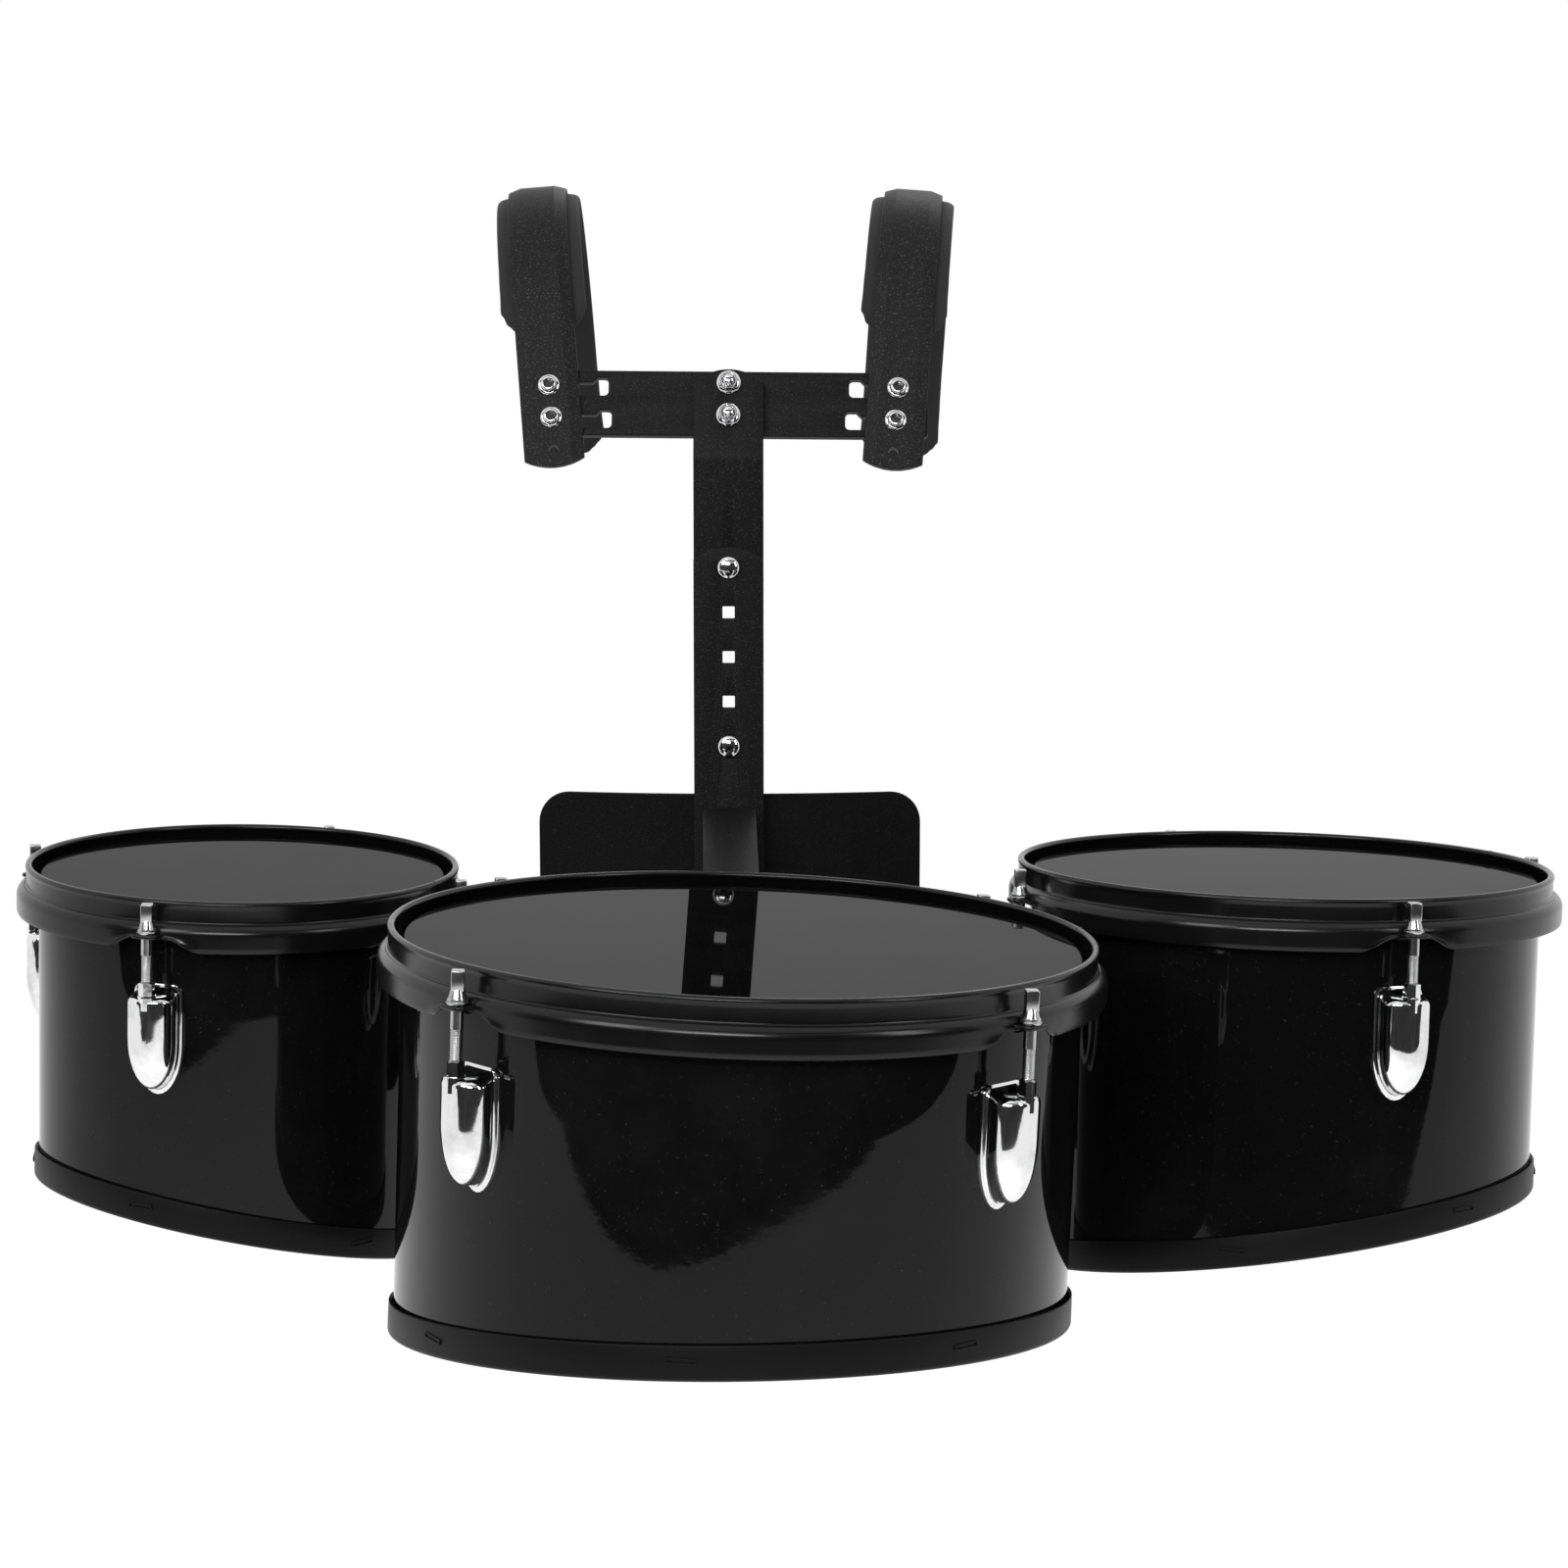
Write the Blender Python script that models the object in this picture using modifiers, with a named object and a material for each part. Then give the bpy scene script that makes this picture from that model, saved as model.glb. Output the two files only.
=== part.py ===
# Marching tenor drums: a trio of single-headed drums hung from an over-the-shoulder carrier.
# Metres, +Z up. The audience is at -Y, the player stands at +Y.
# The origin is where the carrier rests on the shoulders, midway between the two pads.
import math

import bmesh
import bpy
from mathutils import Matrix, Vector

INCH = 0.0254

# Clearances between pieces
SEAT_GAP = 0.0003
SHANK_PLAY = 0.0003
WALL_CLEARANCE = 0.0006

# Drums: the frame of each is the centre of its rim's top, as it hangs, with its first rod at -Y
DRUMS = {
    "small": {
        "radius": 4 * INCH, "centre": (-0.2425, -0.3079, -0.3392),
        "roll": 2.16, "tilt": 1.56, "first_rod": -12.96, "cut_faces": -46.5,
    },
    "large": {
        "radius": 6 * INCH, "centre": (0.0136, -0.4881, -0.3411),
        "roll": 2.22, "tilt": -0.11, "first_rod": -43.92, "cut_faces": 16.5,
    },
    "medium": {
        "radius": 5 * INCH, "centre": (0.2837, -0.3137, -0.3389),
        "roll": 0.83, "tilt": -1.56, "first_rod": -74.08, "cut_faces": 60.0,
    },
}
RODS_PER_DRUM = 4
ROUND_STEPS = 36

# Shell: its lower edge is cut at a slant, half this difference either side of the middle depth
SHELL_WALL = 0.0060
SHELL_TOP = 0.0055
SHELL_MIDDLE_DEPTH = 0.1788
SLANT_RISE = 0.0248
BEARING_INSET = 0.0015
BEARING_BEVEL = 0.0045
BEARING_ROUND = 0.0011

# Head: a film over the bearing edge, crimped in a flesh hoop
FILM_TOP = 0.0047
FILM_THICK = 0.0005
COLLAR_OUT = 0.0012
FLESH_TOP = 0.0130
FLESH_OUT = 0.0066
FLESH_HEIGHT = 0.0065

# Counter hoop: rolled lip, upright collar, rounded shoulder and skirt
LIP_OUT = 0.0066
LIP_IN = 0.0031
LIP_HEIGHT = 0.0034
COLLAR_THICK = 0.0019
COLLAR_HEIGHT = 0.0096
SHOULDER_DROP = 0.0152
SKIRT_OUT = 0.0109
SKIRT_THICK = 0.0020
HOOP_HEIGHT = 0.0240

# Ears of the hoop, and the arch in the skirt below each
ROD_CIRCLE = 0.0141
EAR_TOP = 0.0150
EAR_THICK = 0.0020
EAR_WIDTH = 0.0133
EAR_REACH = 0.0052
EAR_CORNER = 0.0030
ARCH_TOP_WIDTH = 0.0120
ARCH_FOOT_WIDTH = 0.0390
ARCH_STEPS = 4

# Tension rod: square key head, cone and flange, then the threaded shank
KEY_TOP = 0.0007
KEY_WIDTH = 0.0056
KEY_HEIGHT = 0.0078
CONE_HEIGHT = 0.0040
FLANGE_RADIUS = 0.0045
ROD_RADIUS = 0.00275
ROD_END = 0.0700
ROD_SIDES = 10

# Lug: flange plate, waist and bulged front, with the hexagonal nut of the rod on top
LUG_TOP = 0.0420
LUG_BOTTOM = 0.0963
LUG_WIDTH = 0.0247
LUG_FLANGE = 0.0016
LUG_WAIST = 0.0080
LUG_WAIST_INSET = 0.0016
LUG_DEPTH = 0.0172
LUG_FRONT_TOP = 0.0485
LUG_FRONT_LIFT = 0.0045
LUG_TIP_STEPS = 4
NUT_TOP = 0.0398
NUT_ACROSS = 0.0068
LUG_BORE_END = 0.0760

# Guard: a channel pressed on the slanted edge
GUARD_OUT = 0.0022
GUARD_HEIGHT = 0.0110
GUARD_INNER_HEIGHT = 0.0050
GUARD_THICK = 0.0017
GUARD_FLOOR = 0.0030

# Carrier stock
POST_WIDTH = 0.0396
PLATE_THICK = 0.0048
CARRIER_LEAN = 18.0
BOLT_RADIUS = 0.0031
HOLE_PITCH = INCH
SMALL_PITCH = 0.75 * INCH

# Upper post: its front face, the bend below the crossbar and the slot for the height of the drums
POST_FACE = -0.1137
BEND_HEIGHT = -0.1389
BEND_RADIUS = 0.0150
CROSS_BOLTS_ABOVE_BEND = 0.0334
POST_TOP_ABOVE_BOLTS = 0.0176
POST_TOP_SAGITTA = 0.0116
DROP_TRAVEL = 2 * INCH
LIFT_TRAVEL = 0.25 * INCH
SLOT_WIDTH = 0.0072
SLOT_END_WEB = 0.0065

# Lower post
TOP_BOLT = -0.2016
BOLT_ROW = 5
LOWER_POST_TOP_ABOVE_BOLT = 0.0117
LOWER_POST_SAGITTA = 0.0072
LOWER_POST_END = -0.4580
SQUARE_HOLE = 0.0069
SQUARE_NECK = 0.0063

# Crossbar and its stepped slots, counted from the middle of its two bolts
CROSSBAR_HALF_LENGTH = 0.1130
CROSSBAR_HEIGHT = 1.5 * INCH
CROSSBAR_THICK = 0.25 * INCH
CROSSBAR_DROP = 0.0012
CROSSBAR_CORNER = 0.0030
CROSSBAR_ROLL = 0.5
STRAP_SLOT_HEIGHT = 0.0078
STRAP_SLOT_STEP = 0.0029
STRAP_SLOT_STEP_WIDTH = 0.0062
STRAP_SLOT_ENDS = {1: 0.0683, -1: 0.0662}
STRAP_SLOT_OUTER = 0.1070
STRAP_SLOT_CORNER = 0.0025

# Shoulder straps, each a bar with bevelled sides bent over the shoulder
STRAPS = {
    "left": {"out": -0.1009, "side": -1, "lean": 5.5, "splay": 1.1},
    "right": {"out": 0.0952, "side": 1, "lean": 4.0, "splay": 1.7},
}
STRAP_WIDTH = 0.0340
STRAP_FLAT = 0.0200
STRAP_BEVEL = 0.0022
STRAP_ROW_DROP = 0.0022
STRAP_SLOT_DROP = 0.0025
STRAP_FOOT = 0.0382
STRAP_END_RADIUS = 0.0340
STRAP_RISE = 0.0687
ARCH_RADIUS = 0.0880
ARCH_STATIONS = 11
REAR_ARM = 0.0605
FREE_HOLE_RADIUS = 0.0028

# Pads lining the straps
PAD_WIDTH = 0.0494
PAD_THICK = 0.0100
PAD_EDGE_DRAW = 0.0036
PAD_FOOT = 0.0256
PAD_REAR = 0.0680
PAD_CHAMFER = 0.0080
PAD_CHAMFER_RUN = 0.0094

# Belly plate and pad
BELLY_WIDTH = 0.2205
BELLY_TOP = -0.3320
BELLY_HEIGHT = 0.1530
BELLY_CORNER = 0.0180
BELLY_CURVE = 0.4400
BELLY_THICK = 0.0030
BELLY_PAD_THICK = 0.0165
BELLY_PAD_CROWN = 0.0030
BELLY_BOSS_TOP = -0.3740
BELLY_BOSS_HEIGHT = 0.0740
BELLY_STATIONS = 5
CORNER_STEPS = 4
BELLY_SCREWS = (-0.3880, -0.4320)
COUNTERSINK_RADIUS = 0.0062

# Bracket that carries the drums: a bent arm from the post, and a rail whose ends meet the side drums
ARM_WIDTH = 0.0300
ARM_THICK = 0.0060
ARM_SLOPE = 13.0
ARM_SKEW = 1.65
ARM_BEND = 0.0030
ARM_TOP = -0.3350
ARM_REAR_TAB_END = -0.4480
ARM_FRONT_TAB_END = -0.4250
RAIL_THICK = 0.0050
RAIL_HEIGHT = 0.0300
RAIL_BEND = 0.0060
RAIL_FROM_POST = 0.1570
RAIL_FLANGE_END = 0.0220
MOUNT_PITCH = 0.0160
MOUNTS = {"small": 122.0, "medium": -119.0}

# Fasteners
WASHER_RADIUS = 0.0060
WASHER_THICK = 0.0012
BUTTON_RADIUS = 0.0047
BUTTON_HEIGHT = 0.0028
SOCKET_ACROSS = 0.0040
SOCKET_DEPTH = 0.0016
DOME_RADIUS = 0.0065
DOME_HEIGHT = 0.0034
NUT_WIDTH = 0.0111
NUT_HEIGHT = 0.0055
NUT_FLANGE_RADIUS = 0.00715
NUT_FLANGE = 0.0014
BOLT_STICK_OUT = 0.0022
BOLT_SIDES = 12
BACKING_WIDTH = 0.0130
BACKING_THICK = 0.0025


# Scene and materials

def clear_scene():
    for old in list(bpy.data.objects):
        bpy.data.objects.remove(old, do_unlink=True)


def new_collection(name):
    made = bpy.data.collections.new(name)
    bpy.context.scene.collection.children.link(made)
    return made


def new_material(name, colour, roughness, metallic):
    made = bpy.data.materials.new(name)
    made.use_nodes = True
    shader = made.node_tree.nodes["Principled BSDF"]
    shader.inputs["Base Color"].default_value = (*colour, 1.0)
    shader.inputs["Roughness"].default_value = roughness
    shader.inputs["Metallic"].default_value = metallic
    return made


clear_scene()
parts = new_collection("MarchingTenorDrums")
cutters = new_collection("Cutters")
cutters.hide_render = True

materials = {
    "shell": new_material("GlossBlackWrap", (0.006, 0.006, 0.007), 0.08, 0.0),
    "head": new_material("BlackFilm", (0.012, 0.012, 0.013), 0.12, 0.0),
    "hoop": new_material("SatinBlackSteel", (0.010, 0.010, 0.011), 0.32, 0.0),
    "guard": new_material("BlackPlastic", (0.012, 0.012, 0.012), 0.45, 0.0),
    "chrome": new_material("Chrome", (0.80, 0.80, 0.80), 0.06, 1.0),
    "carrier": new_material("TexturedBlackCoat", (0.016, 0.016, 0.017), 0.55, 0.0),
    "foam": new_material("BlackFoam", (0.020, 0.020, 0.021), 0.85, 0.0),
}


# Shape helpers

def add_object(name, mesh, material, parent=None, matrix=None):
    made = bpy.data.objects.new(name, mesh)
    parts.objects.link(made)
    made.parent = parent
    made.matrix_local = matrix or Matrix.Identity(4)
    if material and not mesh.materials:
        mesh.materials.append(materials[material])
    return made


def add_frame(name, matrix):
    made = bpy.data.objects.new(name, None)
    made.empty_display_size = 0.03
    parts.objects.link(made)
    made.matrix_local = matrix
    return made


def shade(mesh, angle=35.0):
    mesh.shade_smooth()
    mesh.set_sharp_from_angle(angle=math.radians(angle))
    return mesh


def mesh_of(bm):
    bmesh.ops.recalc_face_normals(bm, faces=bm.faces)
    mesh = bpy.data.meshes.new("Shape")
    bm.to_mesh(mesh)
    bm.free()
    return shade(mesh)


def baked(obj):
    # The evaluated shape as a plain mesh, with the object it came from removed
    bpy.context.view_layer.update()
    graph = bpy.context.evaluated_depsgraph_get()
    mesh = bpy.data.meshes.new_from_object(obj.evaluated_get(graph))
    bpy.data.objects.remove(obj, do_unlink=True)
    bm = bmesh.new()
    bm.from_mesh(mesh)
    bmesh.ops.remove_doubles(bm, verts=bm.verts, dist=1e-6)
    bm.to_mesh(mesh)
    bm.free()
    return shade(mesh)


def turned(profile, steps, closed):
    # A profile of (radius, height) that runs down its outer side, turned about Z
    mesh = bpy.data.meshes.new("Profile")
    points = [(radius, 0.0, height) for radius, height in profile]
    edges = [(i, i + 1) for i in range(len(points) - 1)]
    if closed:
        edges.append((len(points) - 1, 0))
    mesh.from_pydata(points, edges, [])
    obj = bpy.data.objects.new("Turned", mesh)
    parts.objects.link(obj)
    screw = obj.modifiers.new("Turn", "SCREW")
    screw.steps = steps
    screw.render_steps = steps
    screw.use_merge_vertices = True
    screw.merge_threshold = 1e-6
    return baked(obj)


def plate(outlines, thickness):
    # Flat outlines in XY, the first the rim and the rest holes, made a plate centred on Z = 0
    curve = bpy.data.curves.new("Outline", "CURVE")
    curve.dimensions = "2D"
    curve.fill_mode = "BOTH"
    curve.extrude = thickness / 2
    for outline in outlines:
        spline = curve.splines.new("POLY")
        spline.points.add(len(outline) - 1)
        for point, (x, y) in zip(spline.points, outline):
            point.co = (x, y, 0.0, 1.0)
        spline.use_cyclic_u = True
    obj = bpy.data.objects.new("Plate", curve)
    parts.objects.link(obj)
    return baked(obj)


def moved(mesh, matrix):
    mesh.transform(matrix)
    mesh.update()
    return mesh


def cylinder(radius, start, end, sides=BOLT_SIDES, end_radius=None):
    # Along Z from start to end
    bm = bmesh.new()
    bmesh.ops.create_cone(
        bm, cap_ends=True, segments=sides, radius1=radius,
        radius2=radius if end_radius is None else end_radius, depth=abs(end - start),
        matrix=Matrix.Translation((0, 0, (start + end) / 2)),
    )
    return mesh_of(bm)


def hexagon(across, start, end):
    bm = bmesh.new()
    corner = across / math.sqrt(3)
    bmesh.ops.create_cone(
        bm, cap_ends=True, segments=6, radius1=corner, radius2=corner, depth=end - start,
        matrix=Matrix.Translation((0, 0, (start + end) / 2)),
    )
    return mesh_of(bm)


def box(low, high):
    bm = bmesh.new()
    size = Vector(high) - Vector(low)
    middle = (Vector(high) + Vector(low)) / 2
    bmesh.ops.create_cube(bm, size=1.0, matrix=Matrix.Translation(middle) @ Matrix.Diagonal((*size, 1.0)))
    return mesh_of(bm)


def together(meshes):
    # Shapes that don't touch, gathered in one mesh to cut or join with
    bm = bmesh.new()
    for mesh in meshes:
        bm.from_mesh(mesh)
    return mesh_of(bm)


def worked(mesh, steps):
    # The mesh after each (operation, tool mesh) in turn, by exact Booleans
    obj = bpy.data.objects.new("Worked", mesh)
    parts.objects.link(obj)
    tools = []
    for operation, tool_mesh in steps:
        tool = bpy.data.objects.new("Tool", tool_mesh)
        cutters.objects.link(tool)
        tool.hide_render = True
        tool.display_type = "WIRE"
        boolean = obj.modifiers.new(operation.title(), "BOOLEAN")
        boolean.operation = operation
        boolean.object = tool
        tools.append(tool)
    result = baked(obj)
    for tool in tools:
        bpy.data.objects.remove(tool, do_unlink=True)
    return result


def lofted(rings):
    # Rings of as many points each, joined by quads and closed by strips from side to side
    bm = bmesh.new()
    rows = [[bm.verts.new(point) for point in ring] for ring in rings]
    count = len(rows[0])
    for first, second in zip(rows, rows[1:]):
        for i in range(count):
            j = (i + 1) % count
            bm.faces.new((first[i], first[j], second[j], second[i]))
    for row in (rows[0], rows[-1]):
        for i in range((count - 1) // 2):
            corners = [row[i], row[i + 1], row[count - 2 - i], row[count - 1 - i]]
            bm.faces.new(list(dict.fromkeys(corners)))
    return mesh_of(bm)


def filleted(corners, steps=CORNER_STEPS):
    # An outline through (x, y, radius) corners, each rounded by an arc
    outline = []
    for i, (x, y, radius) in enumerate(corners):
        here = Vector((x, y))
        if radius == 0:
            outline.append((x, y))
            continue
        before = (Vector(corners[i - 1][:2]) - here).normalized()
        after = (Vector(corners[(i + 1) % len(corners)][:2]) - here).normalized()
        half = before.angle(after) / 2
        centre = here + (before + after).normalized() * radius / math.sin(half)
        start = here + before * radius / math.tan(half) - centre
        turn = start.angle_signed(here + after * radius / math.tan(half) - centre)
        for step in range(steps + 1):
            point = centre + Matrix.Rotation(-turn * step / steps, 2) @ start
            outline.append((point.x, point.y))
    return outline


def strip(path, thickness):
    # The side outline of a bent bar: one face through (x, y, inner bend radius), the other to its left
    corners_right = []
    corners_left = []
    for i, (x, y, radius) in enumerate(path):
        here = Vector((x, y))
        before = here - Vector(path[i - 1][:2]) if i else Vector(path[1][:2]) - here
        after = Vector(path[i + 1][:2]) - here if i < len(path) - 1 else before
        normal_before = Vector((-before.y, before.x)).normalized()
        normal_after = Vector((-after.y, after.x)).normalized()
        across = (normal_before + normal_after) / (1 + normal_before.dot(normal_after))
        other = here + across * thickness
        turns_left = before.cross(after) > 0
        outside = radius + thickness if radius else 0
        corners_right.append((x, y, outside if turns_left else radius))
        corners_left.append((other.x, other.y, radius if turns_left else outside))
    return filleted(corners_right + corners_left[::-1])


def round_topped(half_width, top, sagitta, end, corner):
    # A bar's outline: an arc across the top, and rounded lower corners
    radius = (half_width ** 2 + sagitta ** 2) / (2 * sagitta)
    reach = math.asin(min(1.0, half_width / radius))
    steps = 8
    arc = []
    for i in range(steps + 1):
        angle = reach * (1 - 2 * i / steps)
        arc.append((radius * math.sin(angle), top - radius + radius * math.cos(angle)))
    feet = [(-half_width, end, corner), (half_width, end, corner), (half_width, arc[0][1], 0)]
    foot_outline = filleted([(arc[-1][0], arc[-1][1], 0)] + feet)[1:-1]
    return arc + foot_outline


def turn_x(degrees):
    return Matrix.Rotation(math.radians(degrees), 4, "X")


def turn_y(degrees):
    return Matrix.Rotation(math.radians(degrees), 4, "Y")


def turn_z(degrees):
    return Matrix.Rotation(math.radians(degrees), 4, "Z")


FACE_Y = turn_x(90)
SIDE_ON = Matrix(((0, 0, 1, 0), (1, 0, 0, 0), (0, 1, 0, 0), (0, 0, 0, 1)))


# Drums

def hoop_profile(radius):
    lip_middle = radius + (LIP_OUT + LIP_IN) / 2
    collar_out = radius + LIP_IN + COLLAR_THICK + 0.0011
    collar_in = collar_out - COLLAR_THICK
    ledge_under = -(FLESH_TOP - SEAT_GAP)
    skirt_out = radius + SKIRT_OUT
    skirt_in = skirt_out - SKIRT_THICK
    return [
        (lip_middle, 0.0),
        (radius + LIP_OUT, -0.35 * LIP_HEIGHT),
        (collar_out, -LIP_HEIGHT),
        (collar_out, -COLLAR_HEIGHT),
        (skirt_out - 0.0010, -SHOULDER_DROP + 0.0022),
        (skirt_out, -SHOULDER_DROP),
        (skirt_out, -HOOP_HEIGHT),
        (skirt_in, -HOOP_HEIGHT),
        (radius + FLESH_OUT + SEAT_GAP, ledge_under),
        (collar_in, ledge_under),
        (radius + LIP_IN, -0.35 * LIP_HEIGHT),
    ]


def head_profile(radius):
    film_under = -FILM_TOP - FILM_THICK
    collar_in = radius + COLLAR_OUT - 2 * FILM_THICK
    flesh_bottom = -FLESH_TOP - FLESH_HEIGHT
    return [
        (0.0, -FILM_TOP),
        (radius - BEARING_INSET, -FILM_TOP),
        (radius + COLLAR_OUT, -FILM_TOP - BEARING_ROUND),
        (radius + COLLAR_OUT, -FLESH_TOP),
        (radius + FLESH_OUT, -FLESH_TOP),
        (radius + FLESH_OUT, flesh_bottom),
        (collar_in + 0.0003, flesh_bottom),
        (collar_in + 0.0003, -SHELL_TOP - 0.0007),
        (radius - BEARING_INSET + 0.0006, film_under),
        (0.0, film_under),
    ]


def shell_mesh(radius, slope):
    inner = radius - SHELL_WALL
    bottom = -SHELL_MIDDLE_DEPTH
    mesh = turned([
        (radius - BEARING_INSET, -SHELL_TOP),
        (radius, -SHELL_TOP - BEARING_ROUND),
        (radius, bottom),
        (inner, bottom),
        (inner, -SHELL_TOP - BEARING_BEVEL),
    ], ROUND_STEPS, True)
    for vertex in mesh.vertices:
        if vertex.co.z < bottom / 2:
            vertex.co.z -= slope.dot(vertex.co.xy)
    return mesh


def guard_mesh(radius, slope):
    # The channel is turned flat, then sheared to the slant of the shell's edge
    inner = radius - SHELL_WALL - SEAT_GAP
    outside = radius + GUARD_OUT
    mesh = turned([
        (outside, GUARD_HEIGHT),
        (outside, -0.4 * GUARD_FLOOR),
        (outside - 0.6 * GUARD_FLOOR, -GUARD_FLOOR),
        (inner - GUARD_THICK, -GUARD_FLOOR),
        (inner - GUARD_THICK, GUARD_INNER_HEIGHT),
        (inner, GUARD_INNER_HEIGHT),
        (inner, -SEAT_GAP),
        (radius + SEAT_GAP, -SEAT_GAP),
        (radius + SEAT_GAP, GUARD_HEIGHT),
    ], ROUND_STEPS, True)
    for vertex in mesh.vertices:
        vertex.co.z -= SHELL_MIDDLE_DEPTH + slope.dot(vertex.co.xy)
    return shade(mesh)


def ear_tools(radius):
    # The four ears, the arches below them, the flats they are pressed to and their rod holes
    circle = radius + ROD_CIRCLE
    half = EAR_WIDTH / 2
    tongue = plate([filleted([
        (-half, -circle - EAR_REACH, EAR_CORNER),
        (half, -circle - EAR_REACH, EAR_CORNER),
        (half, -radius - FLESH_OUT - 2 * SEAT_GAP, 0),
        (-half, -radius - FLESH_OUT - 2 * SEAT_GAP, 0),
    ], 3)], EAR_THICK)
    moved(tongue, Matrix.Translation((0, 0, -EAR_TOP - EAR_THICK / 2)))
    top = -EAR_TOP - 0.8 * EAR_THICK
    foot = -HOOP_HEIGHT
    side = []
    for i in range(ARCH_STEPS + 1):
        t = i / ARCH_STEPS
        x = (ARCH_TOP_WIDTH + (ARCH_FOOT_WIDTH - ARCH_TOP_WIDTH) * t) / 2
        side.append((x, top + (foot - top) * t * t * (3 - 2 * t)))
    side.append((ARCH_FOOT_WIDTH / 2, foot - 0.002))
    outline = side + [(-x, z) for x, z in reversed(side)]
    arch = plate([outline], 0.010)
    moved(arch, Matrix.Translation((0, -radius - 0.0085, 0)) @ FACE_Y)
    flat = cylinder(FLANGE_RADIUS + SEAT_GAP, -EAR_TOP, -0.006, ROD_SIDES)
    hole = cylinder(ROD_RADIUS + 0.0004, -EAR_TOP - 0.004, -EAR_TOP + 0.001, ROD_SIDES)
    tools = {}
    for name, mesh, place in (
        ("arches", arch, Matrix.Identity(4)),
        ("tongues", tongue, Matrix.Identity(4)),
        ("flats", flat, Matrix.Translation((0, -circle, 0))),
        ("holes", hole, Matrix.Translation((0, -circle, 0))),
    ):
        copies = []
        for i in range(RODS_PER_DRUM):
            copy = mesh.copy()
            copies.append(moved(copy, turn_z(360 * i / RODS_PER_DRUM) @ place))
        tools[name] = together(copies)
    return tools


def hoop_mesh(radius):
    tools = ear_tools(radius)
    return worked(turned(hoop_profile(radius), ROUND_STEPS, True), [
        ("DIFFERENCE", tools["flats"]),
        ("DIFFERENCE", tools["arches"]),
        ("UNION", tools["tongues"]),
        ("DIFFERENCE", tools["holes"]),
    ])


def rod_mesh():
    # Along Z, with the rim's top at Z = 0
    cone_top = -KEY_TOP - KEY_HEIGHT
    flange_under = -EAR_TOP + SEAT_GAP
    body = turned([
        (0.0, cone_top),
        (KEY_WIDTH * 0.52, cone_top),
        (FLANGE_RADIUS, cone_top - CONE_HEIGHT),
        (FLANGE_RADIUS, flange_under),
        (ROD_RADIUS, flange_under),
        (ROD_RADIUS, -ROD_END),
        (0.0, -ROD_END),
    ], ROD_SIDES, False)
    half = KEY_WIDTH / 2
    key = box((-half, -half, cone_top - 0.001), (half, half, -KEY_TOP))
    return worked(body, [("UNION", key)])


def bullet(half_width, depth, top, bottom):
    # A ring of the lug at this depth from the shell: straight sides, flat top and an elliptic tip
    spring = bottom + 2 * half_width
    ring = [(half_width, -depth, top)]
    for i in range(LUG_TIP_STEPS + 1):
        angle = math.pi * i / LUG_TIP_STEPS
        ring.append((half_width * math.cos(angle), -depth, spring - 2 * half_width * math.sin(angle)))
    ring.append((-half_width, -depth, top))
    return ring


def lug_mesh():
    # The back lies on the shell's tangent plane at Y = 0, and the front is at -Y
    flange = LUG_WIDTH / 2
    waist = flange - LUG_WAIST_INSET
    tip = LUG_BOTTOM - LUG_FRONT_LIFT
    rings = [
        bullet(flange, SEAT_GAP, -LUG_TOP, -LUG_BOTTOM),
        bullet(flange, LUG_FLANGE, -LUG_TOP, -LUG_BOTTOM),
        bullet(waist, LUG_FLANGE + 0.0002, -LUG_TOP, -LUG_BOTTOM + LUG_WAIST_INSET),
        bullet(waist, LUG_WAIST, -LUG_TOP - 0.0012, -LUG_BOTTOM + LUG_WAIST_INSET),
        bullet(waist, 0.68 * LUG_DEPTH, -LUG_FRONT_TOP, -tip + 0.0004),
        bullet(0.74 * waist, 0.90 * LUG_DEPTH, -LUG_FRONT_TOP - 0.0006, -tip + 0.0040),
        bullet(0.34 * waist, LUG_DEPTH, -LUG_FRONT_TOP - 0.0022, -tip + 0.0120),
    ]
    nut = hexagon(NUT_ACROSS, -LUG_FRONT_TOP - 0.004, -NUT_TOP)
    bore = cylinder(ROD_RADIUS + SHANK_PLAY, -LUG_BORE_END, -NUT_TOP + 0.002, ROD_SIDES)
    at_rod = Matrix.Translation((0, -ROD_CIRCLE, 0))
    return worked(lofted(rings), [
        ("UNION", moved(nut, at_rod)),
        ("DIFFERENCE", moved(bore, at_rod)),
    ])


def slope_of(drum):
    # How fast the slanted edge drops across the drum: it is shallow where the cut faces
    angle = math.radians(drum["cut_faces"] - drum["first_rod"])
    steepness = SLANT_RISE / (drum["radius"] + GUARD_OUT)
    return Vector((-math.sin(angle), math.cos(angle))) * steepness


def drum_matrix(drum):
    hang = turn_y(drum["roll"]) @ turn_x(drum["tilt"]) @ turn_z(drum["first_rod"])
    return Matrix.Translation(drum["centre"]) @ hang


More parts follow.
